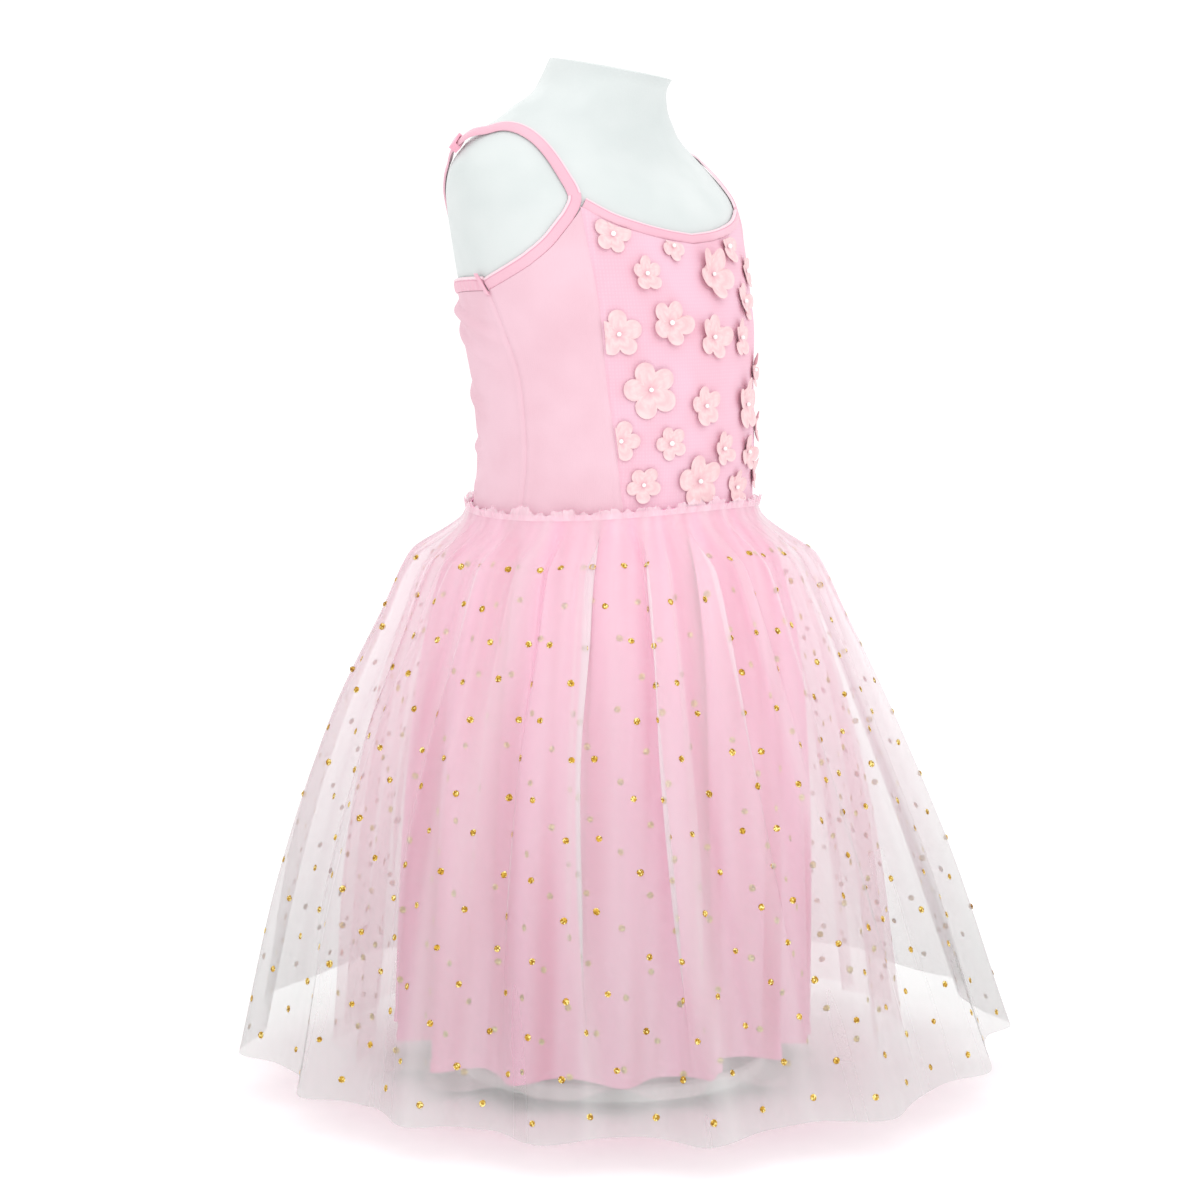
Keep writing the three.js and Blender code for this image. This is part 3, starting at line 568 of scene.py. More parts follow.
@dataclass(frozen=True)
class Glitter(Finish):
    """Gold glitter flakes in a spot of glue: each flake has its own tone and lies its own way; a few carry
    a painted glint.
    """

    flake: float = 0.9      # the real flakes are 0.2 mm, too fine for the picture

    def flakes(self, tree: NodeTree, channel: int) -> NodeSocket:
        """Cells as wide as a flake, each with one random value; each channel has its own."""
        where = add_node(tree, "TexCoord", output="Object")
        cells = add_node(tree, "TexVoronoi", {"Vector": where, "Scale": 1 / (self.flake * MM)}, "Color")
        return add_node(tree, "SeparateColor", {0: cells}, channel)

    def colour(self, tree: NodeTree) -> NodeSocket:
        """Dark to middle gold by flake, and a painted glint of the palest gold on a few."""
        dark, middle, glint_gold = self.colours
        shade = self.flakes(tree, 0)
        lit = add_node(tree, "MapRange", {0: shade, 1: 0.1, 2: 0.6})
        gold = add_node(tree, "Mix", {0: lit, 6: dark, 7: middle}, **COLOUR_MIX)
        # painted glint: flakes high in the random value take the palest gold
        painted_glint = add_node(tree, "MapRange", {0: shade, 1: 0.7, 2: 0.9})
        return add_node(tree, "Mix", {0: painted_glint, 6: gold, 7: glint_gold}, **COLOUR_MIX)

    def height(self, tree: NodeTree) -> NodeSocket:
        """Each flake stands on its own level."""
        return self.flakes(tree, 1)


class Wardrobe(Enum):
    """The finishes of this object."""

    JERSEY = Jersey("brushed_polyester_jersey", "jersey", ("#DFB7C3", "#E4BFCB"), 0.82, 0.2, sheen=0.1)
    FRONT = NetOverJersey(
        "net_over_jersey", "front_panel", ("#E7B6C6", "#E7BBCC", "#F0D2DC"), 0.8, 0.2, sheen=0.1)
    # the binding's third colour is a painted highlight and its fourth a painted shadow line
    BINDING = BindingTape(
        "folded_elastic_tape", "binding", ("#E4B0C0", "#E8BAC8", "#F0D3DB", "#D998AD"), 0.5, 0.4, sheen=0.1)
    # the satin's first, deepest pink is the painted shade of its folds
    SATIN = Satin("polyester_satin", "satin", ("#E8589E", "#FBA9D1", "#FFDDEE"), 0.36, 0.8, sheen=0.1)
    # each net's first colour is painted pink light from the lining and its second painted shade at the hem
    TULLE_INNER = Tulle(
        "nylon_tulle_inner", "tulle_inner", ("#F7D0DD", "#EBC9D2", "#F6DDE5"), 0.8, 0.1,
        alpha=0.27, gathered=0.3)
    TULLE_OUTER = Tulle(
        "nylon_tulle_outer", "tulle_outer", ("#F5DEE6", "#B6BAB7", "#DEDCDC"), 0.8, 0.1,
        alpha=0.42, gathered=0.42)
    HEADING = Tulle(
        "gathered_tulle_edge", "tulle_outer", ("#F4D6E0", "#F4D6E0", "#FAEAEF"), 0.8, 0.2, alpha=0.5)
    PETAL = Petal("cut_chiffon_petal", "petal", ("#DFADB7", "#E6BFC3", "#EDCFD0"), 0.75, 0.25, sheen=0.1)
    PEARL = Finish("plastic_pearl", "petal", ("#F6F1EF", "#FFFFFF"), 0.18, 0.6)
    # the glitter's third colour is a painted glint
    GLITTER = Glitter(
        "gold_glitter_in_glue", "tulle_outer", ("#8F6420", "#CFA33A", "#F8EC9A"), 0.5, 0.15, 0.2, bump=0.8)
    SLIDER = Finish("moulded_pink_nylon", "slider", ("#EBA3B9", "#F0B2C4"), 0.35, 0.5)
    FORM = Finish("lacquered_fibreglass", "form", ("#CFD5D4", "#D6DBDA"), 0.42, 0.4)
    STAND = Finish("powder_coated_steel", "stand", ("#F3F3F2", "#F8F8F7"), 0.45, 0.3)


class Fabrics:
    """Builds each finish once and hands it out."""

    def __init__(self) -> None:
        """Start with nothing built."""
        self.built: dict[Wardrobe, Material] = {}

    def of(self, finish: Wardrobe) -> Material:
        """The material of a finish."""
        if finish not in self.built:
            self.built[finish] = finish.value.build()
        return self.built[finish]


FABRICS = Fabrics()


def put(name: str, data: ID) -> Object:
    """Put a new object in the scene."""
    thing = bpy.data.objects.new(name, data)
    bpy.context.scene.collection.objects.link(thing)
    return thing


def turn_outwards(mesh: Mesh, holes: tuple = ()) -> None:
    """Close the holes, each a ring of point numbers, and turn all the faces outwards."""
    work = bmesh.new()
    work.from_mesh(mesh)
    work.verts.ensure_lookup_table()
    for hole in holes:
        work.faces.new([work.verts[int(k)] for k in hole]).smooth = True
    bmesh.ops.recalc_face_normals(work, faces=work.faces)
    work.to_mesh(mesh)
    work.free()


def grid_quads(
    rows: int, columns: int, round_rows: bool = False, round_columns: bool = False
) -> np.ndarray:
    """Corner numbers of the quads of a grid of points.

    Args:
        rows: number of rows.
        columns: points in a row.
        round_rows: whether the last row joins the first.
        round_columns: whether the last column joins the first.

    Returns:
        One line of four corners for each quad.
    """
    row = np.arange(rows if round_rows else rows - 1)[:, None]
    column = np.arange(columns if round_columns else columns - 1)[None, :]
    low, high = row * columns, (row + 1) % rows * columns
    following = (column + 1) % columns
    corners = [low + column, low + following, high + following, high + column]
    return np.stack(corners, axis=-1).reshape(-1, 4)


@dataclass
class Patch:
    """Part of a mesh: points, faces, and the place on the cloth of each corner of each face."""

    points: np.ndarray
    faces: np.ndarray
    flats: np.ndarray

    @staticmethod
    def sheet(points: np.ndarray, flat: np.ndarray, round_columns: bool = False) -> "Patch":
        """Single surface from a grid; a closed grid's flat has one column more than its points."""
        rows, columns = points.shape[:2]
        faces = grid_quads(rows, columns, round_columns=round_columns)
        lookup = grid_quads(rows, flat.shape[1])
        return Patch(points.reshape(-1, 3), faces, flat.reshape(-1, 2)[lookup])

    @staticmethod
    def shell(
        outer: np.ndarray, inner: np.ndarray, flat: np.ndarray, round_columns: bool = False
    ) -> "Patch":
        """Closed wall: the rows of the outside, then those of the inside back again, and the ends."""
        loop = np.concatenate([outer, inner[::-1]])
        rows, columns = loop.shape[:2]
        faces = grid_quads(rows, columns, True, round_columns)
        flat_loop = np.concatenate([flat, flat[::-1]])
        flats = flat_loop.reshape(-1, 2)[grid_quads(rows, flat.shape[1], True)]
        if not round_columns:
            near = np.arange(rows // 2 - 1)
            far = rows - 1 - near
            start = np.stack([near, near + 1, far - 1, far], axis=-1) * columns
            ends = np.concatenate([start[:, ::-1], start + columns - 1])
            faces = np.concatenate([faces, ends])
            flats = np.concatenate([flats, flat_loop.reshape(-1, 2)[ends]])
        return Patch(loop.reshape(-1, 3), faces, flats)

    @staticmethod
    def joined(patches: list["Patch"]) -> "Patch":
        """Several parts as one."""
        starts = np.cumsum([0] + [len(patch.points) for patch in patches[:-1]])
        faces = np.concatenate([patch.faces + start for patch, start in zip(patches, starts)])
        points = np.concatenate([patch.points for patch in patches])
        return Patch(points, faces, np.concatenate([patch.flats for patch in patches]))

    def write(
        self, name: str, finish: Wardrobe, closed: bool = True, sharp: float = 55
    ) -> Object:
        """Make an object in metres with this mesh.

        Args:
            name: the piece's name.
            finish: its finish, whose material it takes.
            closed: whether the mesh is a closed body, whose faces are turned outwards.
            sharp: edges that bend more than this many degrees stay crisp.

        Returns:
            The object, riding on the body.
        """
        mesh = bpy.data.meshes.new(name)
        mesh.from_pydata((self.points * MM).tolist(), [], self.faces.tolist())
        layer = mesh.uv_layers.new(name="Cloth")
        layer.data.foreach_set("uv", self.flats.ravel())
        if closed:
            turn_outwards(mesh)
        mesh.polygons.foreach_set("use_smooth", np.ones(len(mesh.polygons), bool))
        mesh.set_sharp_from_angle(angle=math.radians(sharp))
        mesh.materials.append(FABRICS.of(finish))
        thing = put(name, mesh)
        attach(thing, BODY)
        log.info("%s: %d faces in %s", name, len(mesh.polygons), finish.value.title)
        return thing


def grid_normals(points: np.ndarray) -> np.ndarray:
    """Outward directions of a grid that is closed round: down the cloth crossed with around it."""
    around = np.roll(points, -1, axis=1) - np.roll(points, 1, axis=1)
    return unit(np.cross(around, np.gradient(points, axis=0)))


@dataclass(frozen=True)
class Crease:
    """Soft crease on a bodice panel from one place to another."""

    start: tuple[float, float]
    end: tuple[float, float]
    depth: float
    width: float

    def relief(self, angle: np.ndarray, z: np.ndarray) -> np.ndarray:
        """Ridge along the crease with a trough below it, both fading towards the two ends.

        The distance from the crease's line is measured on the cloth.
        """
        degree = math.radians(MEAN_RADIUS)
        from_start = np.stack([(angle - self.start[0]) * degree, z - self.start[1]], axis=-1)
        line = np.array([(self.end[0] - self.start[0]) * degree, self.end[1] - self.start[1]])
        length = np.hypot(*line)
        ahead = from_start @ (line / length)
        beside = from_start @ (np.array([-line[1], line[0]]) / length)
        share = np.clip(ahead / length, 0, 1)
        fade = np.sin(math.pi * (0.12 + 0.76 * share)) ** 1.5
        fade = fade * bell((ahead - share * length) / self.width)
        ridge = bell(beside / self.width) - 0.8 * bell(beside / self.width + 1.5)
        return self.depth * fade * ridge


def mirrored(creases: list[Crease], turn: float = 0.0) -> list[Crease]:
    """The same creases on the other side of the body, a turn further round."""
    return [
        Crease((turn - c.start[0], c.start[1]), (turn - c.end[0], c.end[1]), c.depth, c.width)
        for c in creases
    ]


@dataclass
class Bodice:
    """Four panels, sewn edge to edge at the princess and side seams."""

    rows: int = 90
    seam_depth: float = 0.7
    seam_width: float = 1.3
    allowance: float = 5.0
    middle_height: float = 430.0
    side_creases: list[Crease] = field(default_factory=lambda: [
        Crease((137, 500), (90, 474), 2.6, 4.0),
        Crease((133, 495), (93, 486), 2.0, 3.0),
        Crease((142, 489), (97, 460), 2.2, 4.5),
        Crease((140, 445), (108, 428), 1.9, 4.0),
        Crease((138, 408), (114, 402), 1.9, 3.2),
        Crease((136, 377), (108, 389), 0.7, 5.0),
        Crease((160, 455), (128, 440), 0.8, 6.0),
    ])
    front_creases: list[Crease] = field(default_factory=lambda: [
        Crease((55, 372), (76, 381), 0.5, 5.0),
        Crease((60, 512), (84, 494), 0.4, 6.0),
    ])

    def panel(
        self, columns: int, left: Callable, right: Callable, top: Callable, creases: list[Crease]
    ) -> Patch:
        """One panel as a thin wall.

        Its points run from seam to seam and from the top to the waist. The outside dips along the
        two seams, stands up a little over the seam allowance, and takes the creases.

        Args:
            columns: points from seam to seam.
            left: angle of the first seam at a height.
            right: angle of the second seam at a height.
            top: height of the upper edge at an angle.
            creases: creases on this panel.

        Returns:
            The wall.
        """
        across = np.linspace(0, 1, columns)[None, :]
        up = np.linspace(1, 0, self.rows)[:, None]
        angle = blend(left(self.middle_height), right(self.middle_height), across) + 0 * up
        for _ in range(12):     # the slanted seams and edges have settled on each other by then
            z = blend(waist(angle), top(angle), up)
            angle = blend(left(z), right(z), across)
        seam = np.minimum(angle - left(z), right(z) - angle) * math.radians(MEAN_RADIUS)
        relief = -self.seam_depth * bell(seam / self.seam_width)
        relief += 0.35 * np.exp(-(((seam - self.allowance / 2) / (self.allowance / 2)) ** 4))
        relief += sum(crease.relief(angle, z) for crease in creases)
        relief += 0.25 * np.sin(angle / 7.3 + z / 31) * np.sin(z / 23 - angle / 17) * smooth(0, 12, seam)
        outer = FORM.point(angle, z, BODICE_OUT + np.maximum(relief, 0.5 - BODICE_CLOTH))
        inner = FORM.point(angle, z, BODY_GAP)
        flat = stacked(angle * math.radians(MEAN_RADIUS), z) * MM
        return Patch.shell(outer, inner, flat)

    def build(self) -> list[Object]:
        """Make the four panels, each in place of its solid."""
        def under_neckline(angle: np.ndarray) -> np.ndarray:
            """Lower edge of the neckline binding."""
            return neckline(angle) - NECK_BINDING

        def minus_princess(z: np.ndarray) -> np.ndarray:
            """The princess seam on the wearer's left."""
            return -PRINCESS_SEAM(z)

        def minus_side(z: np.ndarray) -> np.ndarray:
            """The side seam on the wearer's left."""
            return -SIDE_SEAM(z)

        def far_side(z: np.ndarray) -> np.ndarray:
            """The side seam on the wearer's left, reached round the back."""
            return 360 - SIDE_SEAM(z)

        back_creases = self.side_creases + mirrored(self.side_creases, 360)
        left_creases = mirrored(self.front_creases)
        plans = [
            ("front_panel", 150, minus_princess, PRINCESS_SEAM, under_neckline, [], (0.178, 0.19)),
            ("side_front_right", 60, PRINCESS_SEAM, SIDE_SEAM, armhole, self.front_creases, (0.066, 0.17)),
            ("side_front_left", 60, minus_side, minus_princess, armhole, left_creases, (0.066, 0.17)),
            ("back_panel", 260, SIDE_SEAM, far_side, back_edge, back_creases, (0.32, 0.142)),
        ]
        pieces = []
        for name, columns, left, right, top, creases, flat in plans:
            finish = Wardrobe.FRONT if name == "front_panel" else Wardrobe.JERSEY
            piece = self.panel(columns, left, right, top, creases).write(name + "_cloth", finish)
            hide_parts(name)
            pieces.append(piece)
        return pieces


@dataclass
class Tape:
    """A band of tape with a rounded section that lies on the form along a middle line."""

    width: float
    cloth: float
    crown: float
    gap: float
    shares: int = 21
    ridge: float = 0.84     # the sewn edge and its groove, as shares of the half width
    groove: float = 0.56
    gather: float = 5.2     # distance from gather to gather, which a slower wave makes uneven
    unevenness: float = 9.0

    def build(self, angle: np.ndarray, z: np.ndarray, lift: np.ndarray | float = 0.0,
              edge_side: np.ndarray | float = 1.0, ripple: float = 0.0) -> Patch:
        """Make the band.

        Across it, the outside rises as the fourth root of one minus the fourth power of the share
        of the half width, with a thin ridge and a groove beside it along the sewn edge.

        Args:
            angle: angles of the middle line.
            z: heights of the middle line.
            lift: how far each station stands off further.
            edge_side: 1 where the sewn edge is on the low side, -1 on the other.
            ripple: height of the gathers that elastic pulls into the tape.

        Returns:
            The closed band.
        """
        middle = FORM.point(angle, z)
        along = np.gradient(middle, axis=0)
        across = unit(np.cross(along, FORM.normal(angle, z)))
        share = np.cos(np.linspace(0, math.pi, self.shares))[:, None]
        target = middle[None] + across[None] * (share * self.width / 2)[..., None]
        places = FORM.nearest(target, angle + 0 * share, z + 0 * share)
        length = np.concatenate([[0], np.cumsum(np.linalg.norm(np.diff(middle, axis=0), axis=-1))])
        sided = share * edge_side
        rise = (self.cloth + self.crown * (1 - share**2)) * (1 - share**4) ** 0.25
        rise = rise + 0.3 * bell((sided + self.ridge) / 0.1) - 0.35 * bell((sided + self.groove) / 0.1)
        pulled = 2 * math.pi * length / self.gather + 1.5 * np.sin(length / self.unevenness)
        rise = rise + ripple * np.cos(pulled) * (1 - share**4)
        outer = FORM.point(*places, self.gap + lift + np.maximum(rise, 0.02))
        inner = FORM.point(*places, self.gap + lift + 0 * share)
        flat = stacked(length * MM, (sided + 1) / 2)
        return Patch.shell(outer, inner, flat)


@dataclass
class Bindings:
    """Neckline binding, armhole bindings that run on as straps, back binding and side tabs."""

    stations: int = 260
    tab_half: float = 0.8
    armhole_end: float = 57.0       # angle at which the armhole's edge becomes the strap
    armhole_points: int = 18
    strap_spans: int = 42       # stations of the solid strap, in which the slider's length is given

    def neck(self) -> Patch:
        """Tape along the neckline; its middle line is half its width under the upper edge."""
        angle = np.linspace(52.6, -52.6, self.stations)
        tape = Tape(NECK_BINDING, BINDING_CLOTH, 0.3, BODY_GAP)
        return tape.build(angle, neckline(angle) - NECK_BINDING / 2)

    def back(self) -> Patch:
        """Elastic tape across the back from side join to side join, gathered by its elastic."""
        start = SIDE_JOIN + SIDE_JOIN_LEAN / 2
        angle = np.linspace(360 - start, start, self.stations * 2)
        tape = Tape(BACK_BINDING, BINDING_CLOTH, 0.3, BODY_GAP)
        return tape.build(angle, back_edge(angle) + BACK_BINDING / 2, ripple=0.32)

    def strap_line(self, side: int) -> tuple[np.ndarray, np.ndarray]:
        """Middle line of an armhole binding and its strap.

        The first part is the armhole's edge moved up by half the width, the second the strap's own
        table. Both are joined by length, and even places are read off a smooth curve.

        Args:
            side: 1 for the wearer's right, -1 for the left.

        Returns:
            Angles and heights.
        """
        angle = np.linspace(SIDE_JOIN - 0.4, self.armhole_end, self.armhole_points)
        edge = FORM.point(side * angle, armhole(angle))
        ahead = FORM.point(side * (angle - 0.2), armhole(angle - 0.2))
        behind = FORM.point(side * (angle + 0.2), armhole(angle + 0.2))
        across = unit(np.cross(ahead - behind, FORM.normal(side * angle, armhole(angle))))
        across *= np.sign(across[:, 2:])
        found = FORM.nearest(edge + across * STRAP_WIDTH / 2, side * angle, armhole(angle))
        angles = np.concatenate([found[0], side * np.array(STRAP_ANGLES)])
        heights = np.concatenate([found[1], STRAP_HEIGHTS])
        steps = np.linalg.norm(np.diff(FORM.point(angles, heights), axis=0), axis=-1)
        length = tuple(np.concatenate([[0], np.cumsum(steps)]))
        even = np.linspace(0, length[-1], self.stations)
        return Curve(length, tuple(angles))(even), Curve(length, tuple(heights))(even)

    def strap(self, side: int) -> Patch:
        """Armhole binding and strap in one, doubled and so lifted where the slider sits."""
        angle, z = self.strap_line(side)
        station = np.arange(self.stations)
        at_slider = int(np.argmax(side * angle > SLIDER_ANGLE))
        past_corner = station > int(np.argmin(side * angle))
        near = np.abs(station - at_slider) * self.strap_spans / self.stations
        lift = SLIDER_LIFT * smooth(0, 2, 3 - near) * past_corner
        edge_side = np.where(past_corner, -side, side)
        tape = Tape(STRAP_WIDTH, STRAP_CLOTH, STRAP_CROWN, STRAP_GAP)
        return tape.build(angle, z, lift, edge_side)

    def tab(self, side: int) -> Patch:
        """Folded tab over the joint of the two bindings: a small rounded wall that stands on them."""
        up = np.linspace(1.25, -0.25, 24)[:, None]
        across = np.linspace(-1, 1, 13)[None, :]
        angle = side * (SIDE_JOIN + SIDE_JOIN_LEAN * up + across * self.tab_half)
        z = back_edge(angle) + up * BACK_BINDING + 0 * across
        inside = BODY_GAP + BINDING_CLOTH + 0.5
        past_fold = np.clip(np.abs(up - 0.5) - 0.6, 0, 1) / 0.17
        rise = 1.3 * (1 - across**4) ** 0.25 * (1 - past_fold**2) ** 0.5
        outer = FORM.point(angle, z, inside + np.maximum(rise, 0.05))
        inner = FORM.point(angle, z, inside)
        flat = stacked(up * BACK_BINDING * MM, 0.5 + across / 4)
        return Patch.shell(outer, inner, flat)

    def build(self) -> list[Object]:
        """Make all the bindings, each in place of its solid."""
        patches = {"neck_binding": self.neck(), "back_binding": self.back()}
        for name, side in (("right", 1), ("left", -1)):
            patches[f"strap_{name}"] = self.strap(side)
            patches[f"side_tab_{name}"] = self.tab(side)
        pieces = []
        for name, patch in patches.items():
            piece = patch.write(name + "_tape", Wardrobe.BINDING)
            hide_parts(name)
            pieces.append(piece)
        return pieces


@dataclass
class Flower:
    """Five round petals cut in one from chiffon and sewn on at the heart."""

    number: int
    angle: float
    z: float
    radius: float
    turn: float
    tips: float
    rings: int = 9
    around: int = 110
    cloth: float = 0.3
    lobe_middle: float = 0.61
    lobe_radius: float = 0.39

    def clear(self, angle: np.ndarray, z: np.ndarray) -> np.ndarray:
        """Whether places keep inside the seams, under the binding and above the skirt."""
        inside = np.abs(angle) < PRINCESS_SEAM(z) - 0.5
        under = z < neckline(angle) - NECK_BINDING - 1
        return inside & under & (z > waist(angle) + SKIRT_OVERLAP + 0.8)

    def place(self, reach: np.ndarray, direction: np.ndarray) -> tuple[np.ndarray, np.ndarray]:
        """Angle and height at a reach from the heart."""
        aside = reach * np.cos(direction) / math.radians(PANEL_RADIUS)
        return self.angle - aside, self.z + reach * np.sin(direction)

    def build(self) -> tuple[Patch, Patch]:
        """Make the petals and the pearl.

        The rim of a petal is a circle round a point on its axis, and the rows run from the rim to
        the heart. A point rises with the square of its share of the reach, by its own petal's
        lift, more towards the sides of a petal than along its middle, as cloth cups, and more on
        one side of it than on the other.

        Returns:
            The petals as a thin wall, and the pearl on the heart.
        """
        chance = np.random.default_rng(100 + self.number)
        about = 2 * math.pi * np.arange(self.around) / self.around
        petal = np.round(about / (2 * math.pi / 5)).astype(int) % 5
        aside = (about + math.pi / 5) % (2 * math.pi / 5) - math.pi / 5
        root = self.lobe_radius**2 - (self.lobe_middle * np.sin(aside)) ** 2
        rim = self.radius * (self.lobe_middle * np.cos(aside) + np.sqrt(np.maximum(root, 0)))
        rim *= chance.uniform(0.93, 1.03, 5)[petal]
        direction = about + math.radians(self.turn)
        for _ in range(60):
            rim = np.where(self.clear(*self.place(rim, direction)), rim, rim * 0.96)
        share = np.linspace(1, 0.04, self.rings)[:, None]
        lifts = self.tips * chance.uniform(0.35, 1.5, 5)[petal]
        cup = 0.9 + 0.5 * (aside / (math.pi / 5)) ** 2 + 0.35 * aside / (math.pi / 5)
        reach = rim * share
        rise = lifts * cup * (reach / self.radius) ** 2 + 0.25 * share * np.cos(5 * about) - 0.1
        angle, z = self.place(reach, direction)
        outer = FORM.point(angle, z, BODICE_OUT + 0.5 + self.cloth + np.maximum(rise, -0.1))
        inner = FORM.point(angle, z, BODICE_OUT + 0.5 + np.maximum(rise, -0.1))
        turns = np.arange(self.around + 1) / self.around * 0.2
        flat = stacked(turns, share)
        ball = self.pearl(chance.uniform(1.25, 1.6))
        return Patch.shell(outer, inner, flat, round_columns=True), ball

    def pearl(self, size: float) -> Patch:
        """Small ball on the heart: rings of points by latitude, with tiny poles."""
        heart = FORM.point(self.angle, self.z, BODICE_OUT + 0.8 + self.cloth + size * 0.8)
        latitude = np.linspace(-0.48, 0.48, 9)[::-1, None] * math.pi
        turn = 2 * math.pi * np.arange(14)[None, :] / 14
        level = np.cos(latitude)
        shape = stacked(level * np.cos(turn), level * np.sin(turn), np.sin(latitude))
        outer = heart + size * shape
        inner = heart + size * 0.2 * shape
        flat = np.zeros((9, 15, 2))
        return Patch.shell(outer, inner, flat, round_columns=True)


class FlowerBed:
    """All the flowers on the front panel."""

    def build(self) -> list[Object]:
        """Make each flower in place of its solid, and all the pearls as one piece."""
        pieces, pearls = [], []
        for number, row in enumerate(FLOWERS, start=1):
            petals, pearl = Flower(number, *row).build()
            piece = petals.write(f"flower_{number:02d}_petals", Wardrobe.PETAL, sharp=70)
            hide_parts(f"flower_{number:02d}")
            pieces.append(piece)
            pearls.append(pearl)
        pieces.append(Patch.joined(pearls).write("flower_pearls", Wardrobe.PEARL))
        return pieces


@dataclass(frozen=True)
class Tuck:
    """Fold that doubles back on itself, from the waist to the hem."""

    angle: float
    over: float         # how far the cloth goes back under itself
    out: float          # how far the fold stands out, or in where negative
    width: float = 2.6  # degrees from its middle to each bend

    def share(self, angle: np.ndarray) -> np.ndarray:
        """Distance from the middle of the tuck in widths."""
        return apart(angle, self.angle) / self.width

    def sideways(self, angle: np.ndarray) -> np.ndarray:
        """Sideways move: the share times a bell curve, which is 1 at each bend."""
        share = self.share(angle)
        return self.over * share * np.exp(0.5 - share**2 / 2)

    def radial(self, angle: np.ndarray) -> np.ndarray:
        """Outward move: a bell curve a little to one side of the middle."""
        return self.out * np.exp(-((self.share(angle) - 0.6) ** 2) / 2)


@dataclass(frozen=True)
class HemStep:
    """Stretch of the hem that hangs higher, from one tuck to another."""

    start: float
    end: float
    rise: float

    def height(self, angle: np.ndarray) -> np.ndarray:
        """Rise of the hem, which starts and ends within two degrees."""
        turned = apart(angle, self.start)
        length = (self.end - self.start) % 360
        return self.rise * (smooth(-1, 1, turned) - smooth(-1, 1, turned - length)) * (turned > -1.01)


@dataclass
class SkirtLayer:
    """One layer of the skirt, as in the part's source, with finer pleats and folds that lean over.

    The curves give each measure at a height.
    """

    name: str
    columns: int
    rows: int
    folds: int
    gathers: int
    wander: float
    phase: float
    hem: tuple[float, float, float, float]  # height, slant, where it is highest, dip of the folds
    pleats: tuple[int, int]
    wall_start: float
    forward: Curve      # how far the middle of the layer swings forward
    radius: Curve
    fold: Curve
    gather: Curve
    lean: Curve
    pleat: Curve
    pleat_lean: Curve
    tucks: tuple[Tuck, ...] = ()
    hem_steps: tuple[HemStep, ...] = ()
    pattern_radius: float = 230.0       # radius and length that the pattern on the cloth is laid out for
    pattern_length: float = 355.0

    def gores(self) -> list[str]:
        """Names of the four solids that the layer is sewn from."""
        return [f"{self.name}_{side}" for side in ("front", "right", "back", "left")]

    def fold_phase(self, angle: np.ndarray) -> np.ndarray:
        """Phase of the folds, whose spacing wanders by two slow waves."""
        turn = np.radians(angle)
        slow = 2.2 * np.sin(2 * turn + self.phase) + 1.6 * np.sin(3 * turn + 2 * self.phase)
        return self.folds * (turn + self.wander / self.folds * slow)

    def fold_wave(self, angle: np.ndarray) -> np.ndarray:
        """Shape of the folds: a cosine with a fifth of its octave."""
        phase = self.fold_phase(angle)
        return np.cos(phase + self.phase) + 0.22 * np.cos(2 * phase + 1.3)

    def hem_height(self, angle: np.ndarray) -> np.ndarray:
        """Height of the hem: slanted, and lower where a fold comes forward."""
        level, slant, highest, dip = self.hem
        steps = sum(step.height(angle) for step in self.hem_steps)
        return level + slant * np.cos(np.radians(angle - highest)) - dip * self.fold_wave(angle) + steps

    def point(self, angle: np.ndarray, down: np.ndarray) -> np.ndarray:
        """Point of the layer.

        A ring goes from the waist's shape to a circle as it falls. Its radius is the table's, plus
        the folds, the gathers and the pleats; folds and pleats also move sideways by the sine
        where the radius takes the cosine, so that they lean over like a breaking wave.

        Args:
            angle: degrees round the skirt.
            down: share of the way from the waist's upper edge to the hem.

        Returns:
            Points with x, y and z on the last axis.
        """
        top = waist(angle) + SKIRT_OVERLAP
        height = blend(top, self.hem_height(angle), down)
        first = self.radius.at[-1]
        below = np.clip(height, self.radius.at[0], first)
        start = np.clip((top - height) / (top - first), 0, 1)
        turn = np.radians(angle)
        size = 0.8 + 0.2 * np.sin(4 * turn + 3 * self.phase)
        few = self.pleats[0] * turn + 2.5 * np.sin(2 * turn + self.phase)
        many = self.pleats[1] * turn + 3 * np.sin(3 * turn + 2 * self.phase)
        fading = 0.65 + 0.35 * np.sin(5 * turn + self.phase + 3 * down)
        folds = start * self.fold(below) * size * self.fold_wave(angle)
        gathers = start * self.gather(below) * np.cos(self.gathers * turn)
        pleats = start * self.pleat(below) * fading * (np.cos(few) + 0.6 * np.cos(many + 2 * down)) / 1.6
        waist_ring = FORM.point(angle, height, self.wall_start)
        narrow = blend(np.hypot(waist_ring[..., 0], waist_ring[..., 1]), self.radius.value[-1], start)
        middle = np.where(height > first, narrow, self.radius(below))
        growth = start * middle / self.radius.value[0] * (1 - 0.85 * smooth(0.6, 1, down))
        radius = middle + folds + gathers + pleats + growth * sum(tuck.radial(angle) for tuck in self.tucks)
        sideways = self.lean(below) * size * np.sin(self.fold_phase(angle) + self.phase)
        sideways = sideways + self.pleat_lean(below) * fading * np.sin(few)
        sideways = sideways + growth * sum(tuck.sideways(angle) for tuck in self.tucks)
        moved = turn - start * sideways / middle
        forward = self.forward(below) + radius * np.cos(moved)
        circle = stacked(-radius * np.sin(moved), -forward, height)
        opening = smooth(0, 1, (top - height) / (top - FULL_CIRCLE_AT))[..., None]
        return blend(waist_ring, circle, opening)

    def grid(self) -> tuple[np.ndarray, np.ndarray]:
        """Points of the whole layer and their places on the flat cloth."""
        angle = ring(self.columns)
        down = np.linspace(0, 1, self.rows)[:, None]
        width = math.radians(360 * self.pattern_radius)
        flat = stacked(ring_shares(self.columns) * width, self.pattern_length * down) * MM
        return self.point(angle + 0 * down, down + 0 * angle), flat


def curves(heights: tuple[float, ...], **rows: tuple[float, ...]) -> dict[str, Curve]:
    """One curve for each row of a table whose columns stand for heights."""
    return {name: Curve(heights, row) for name, row in rows.items()}


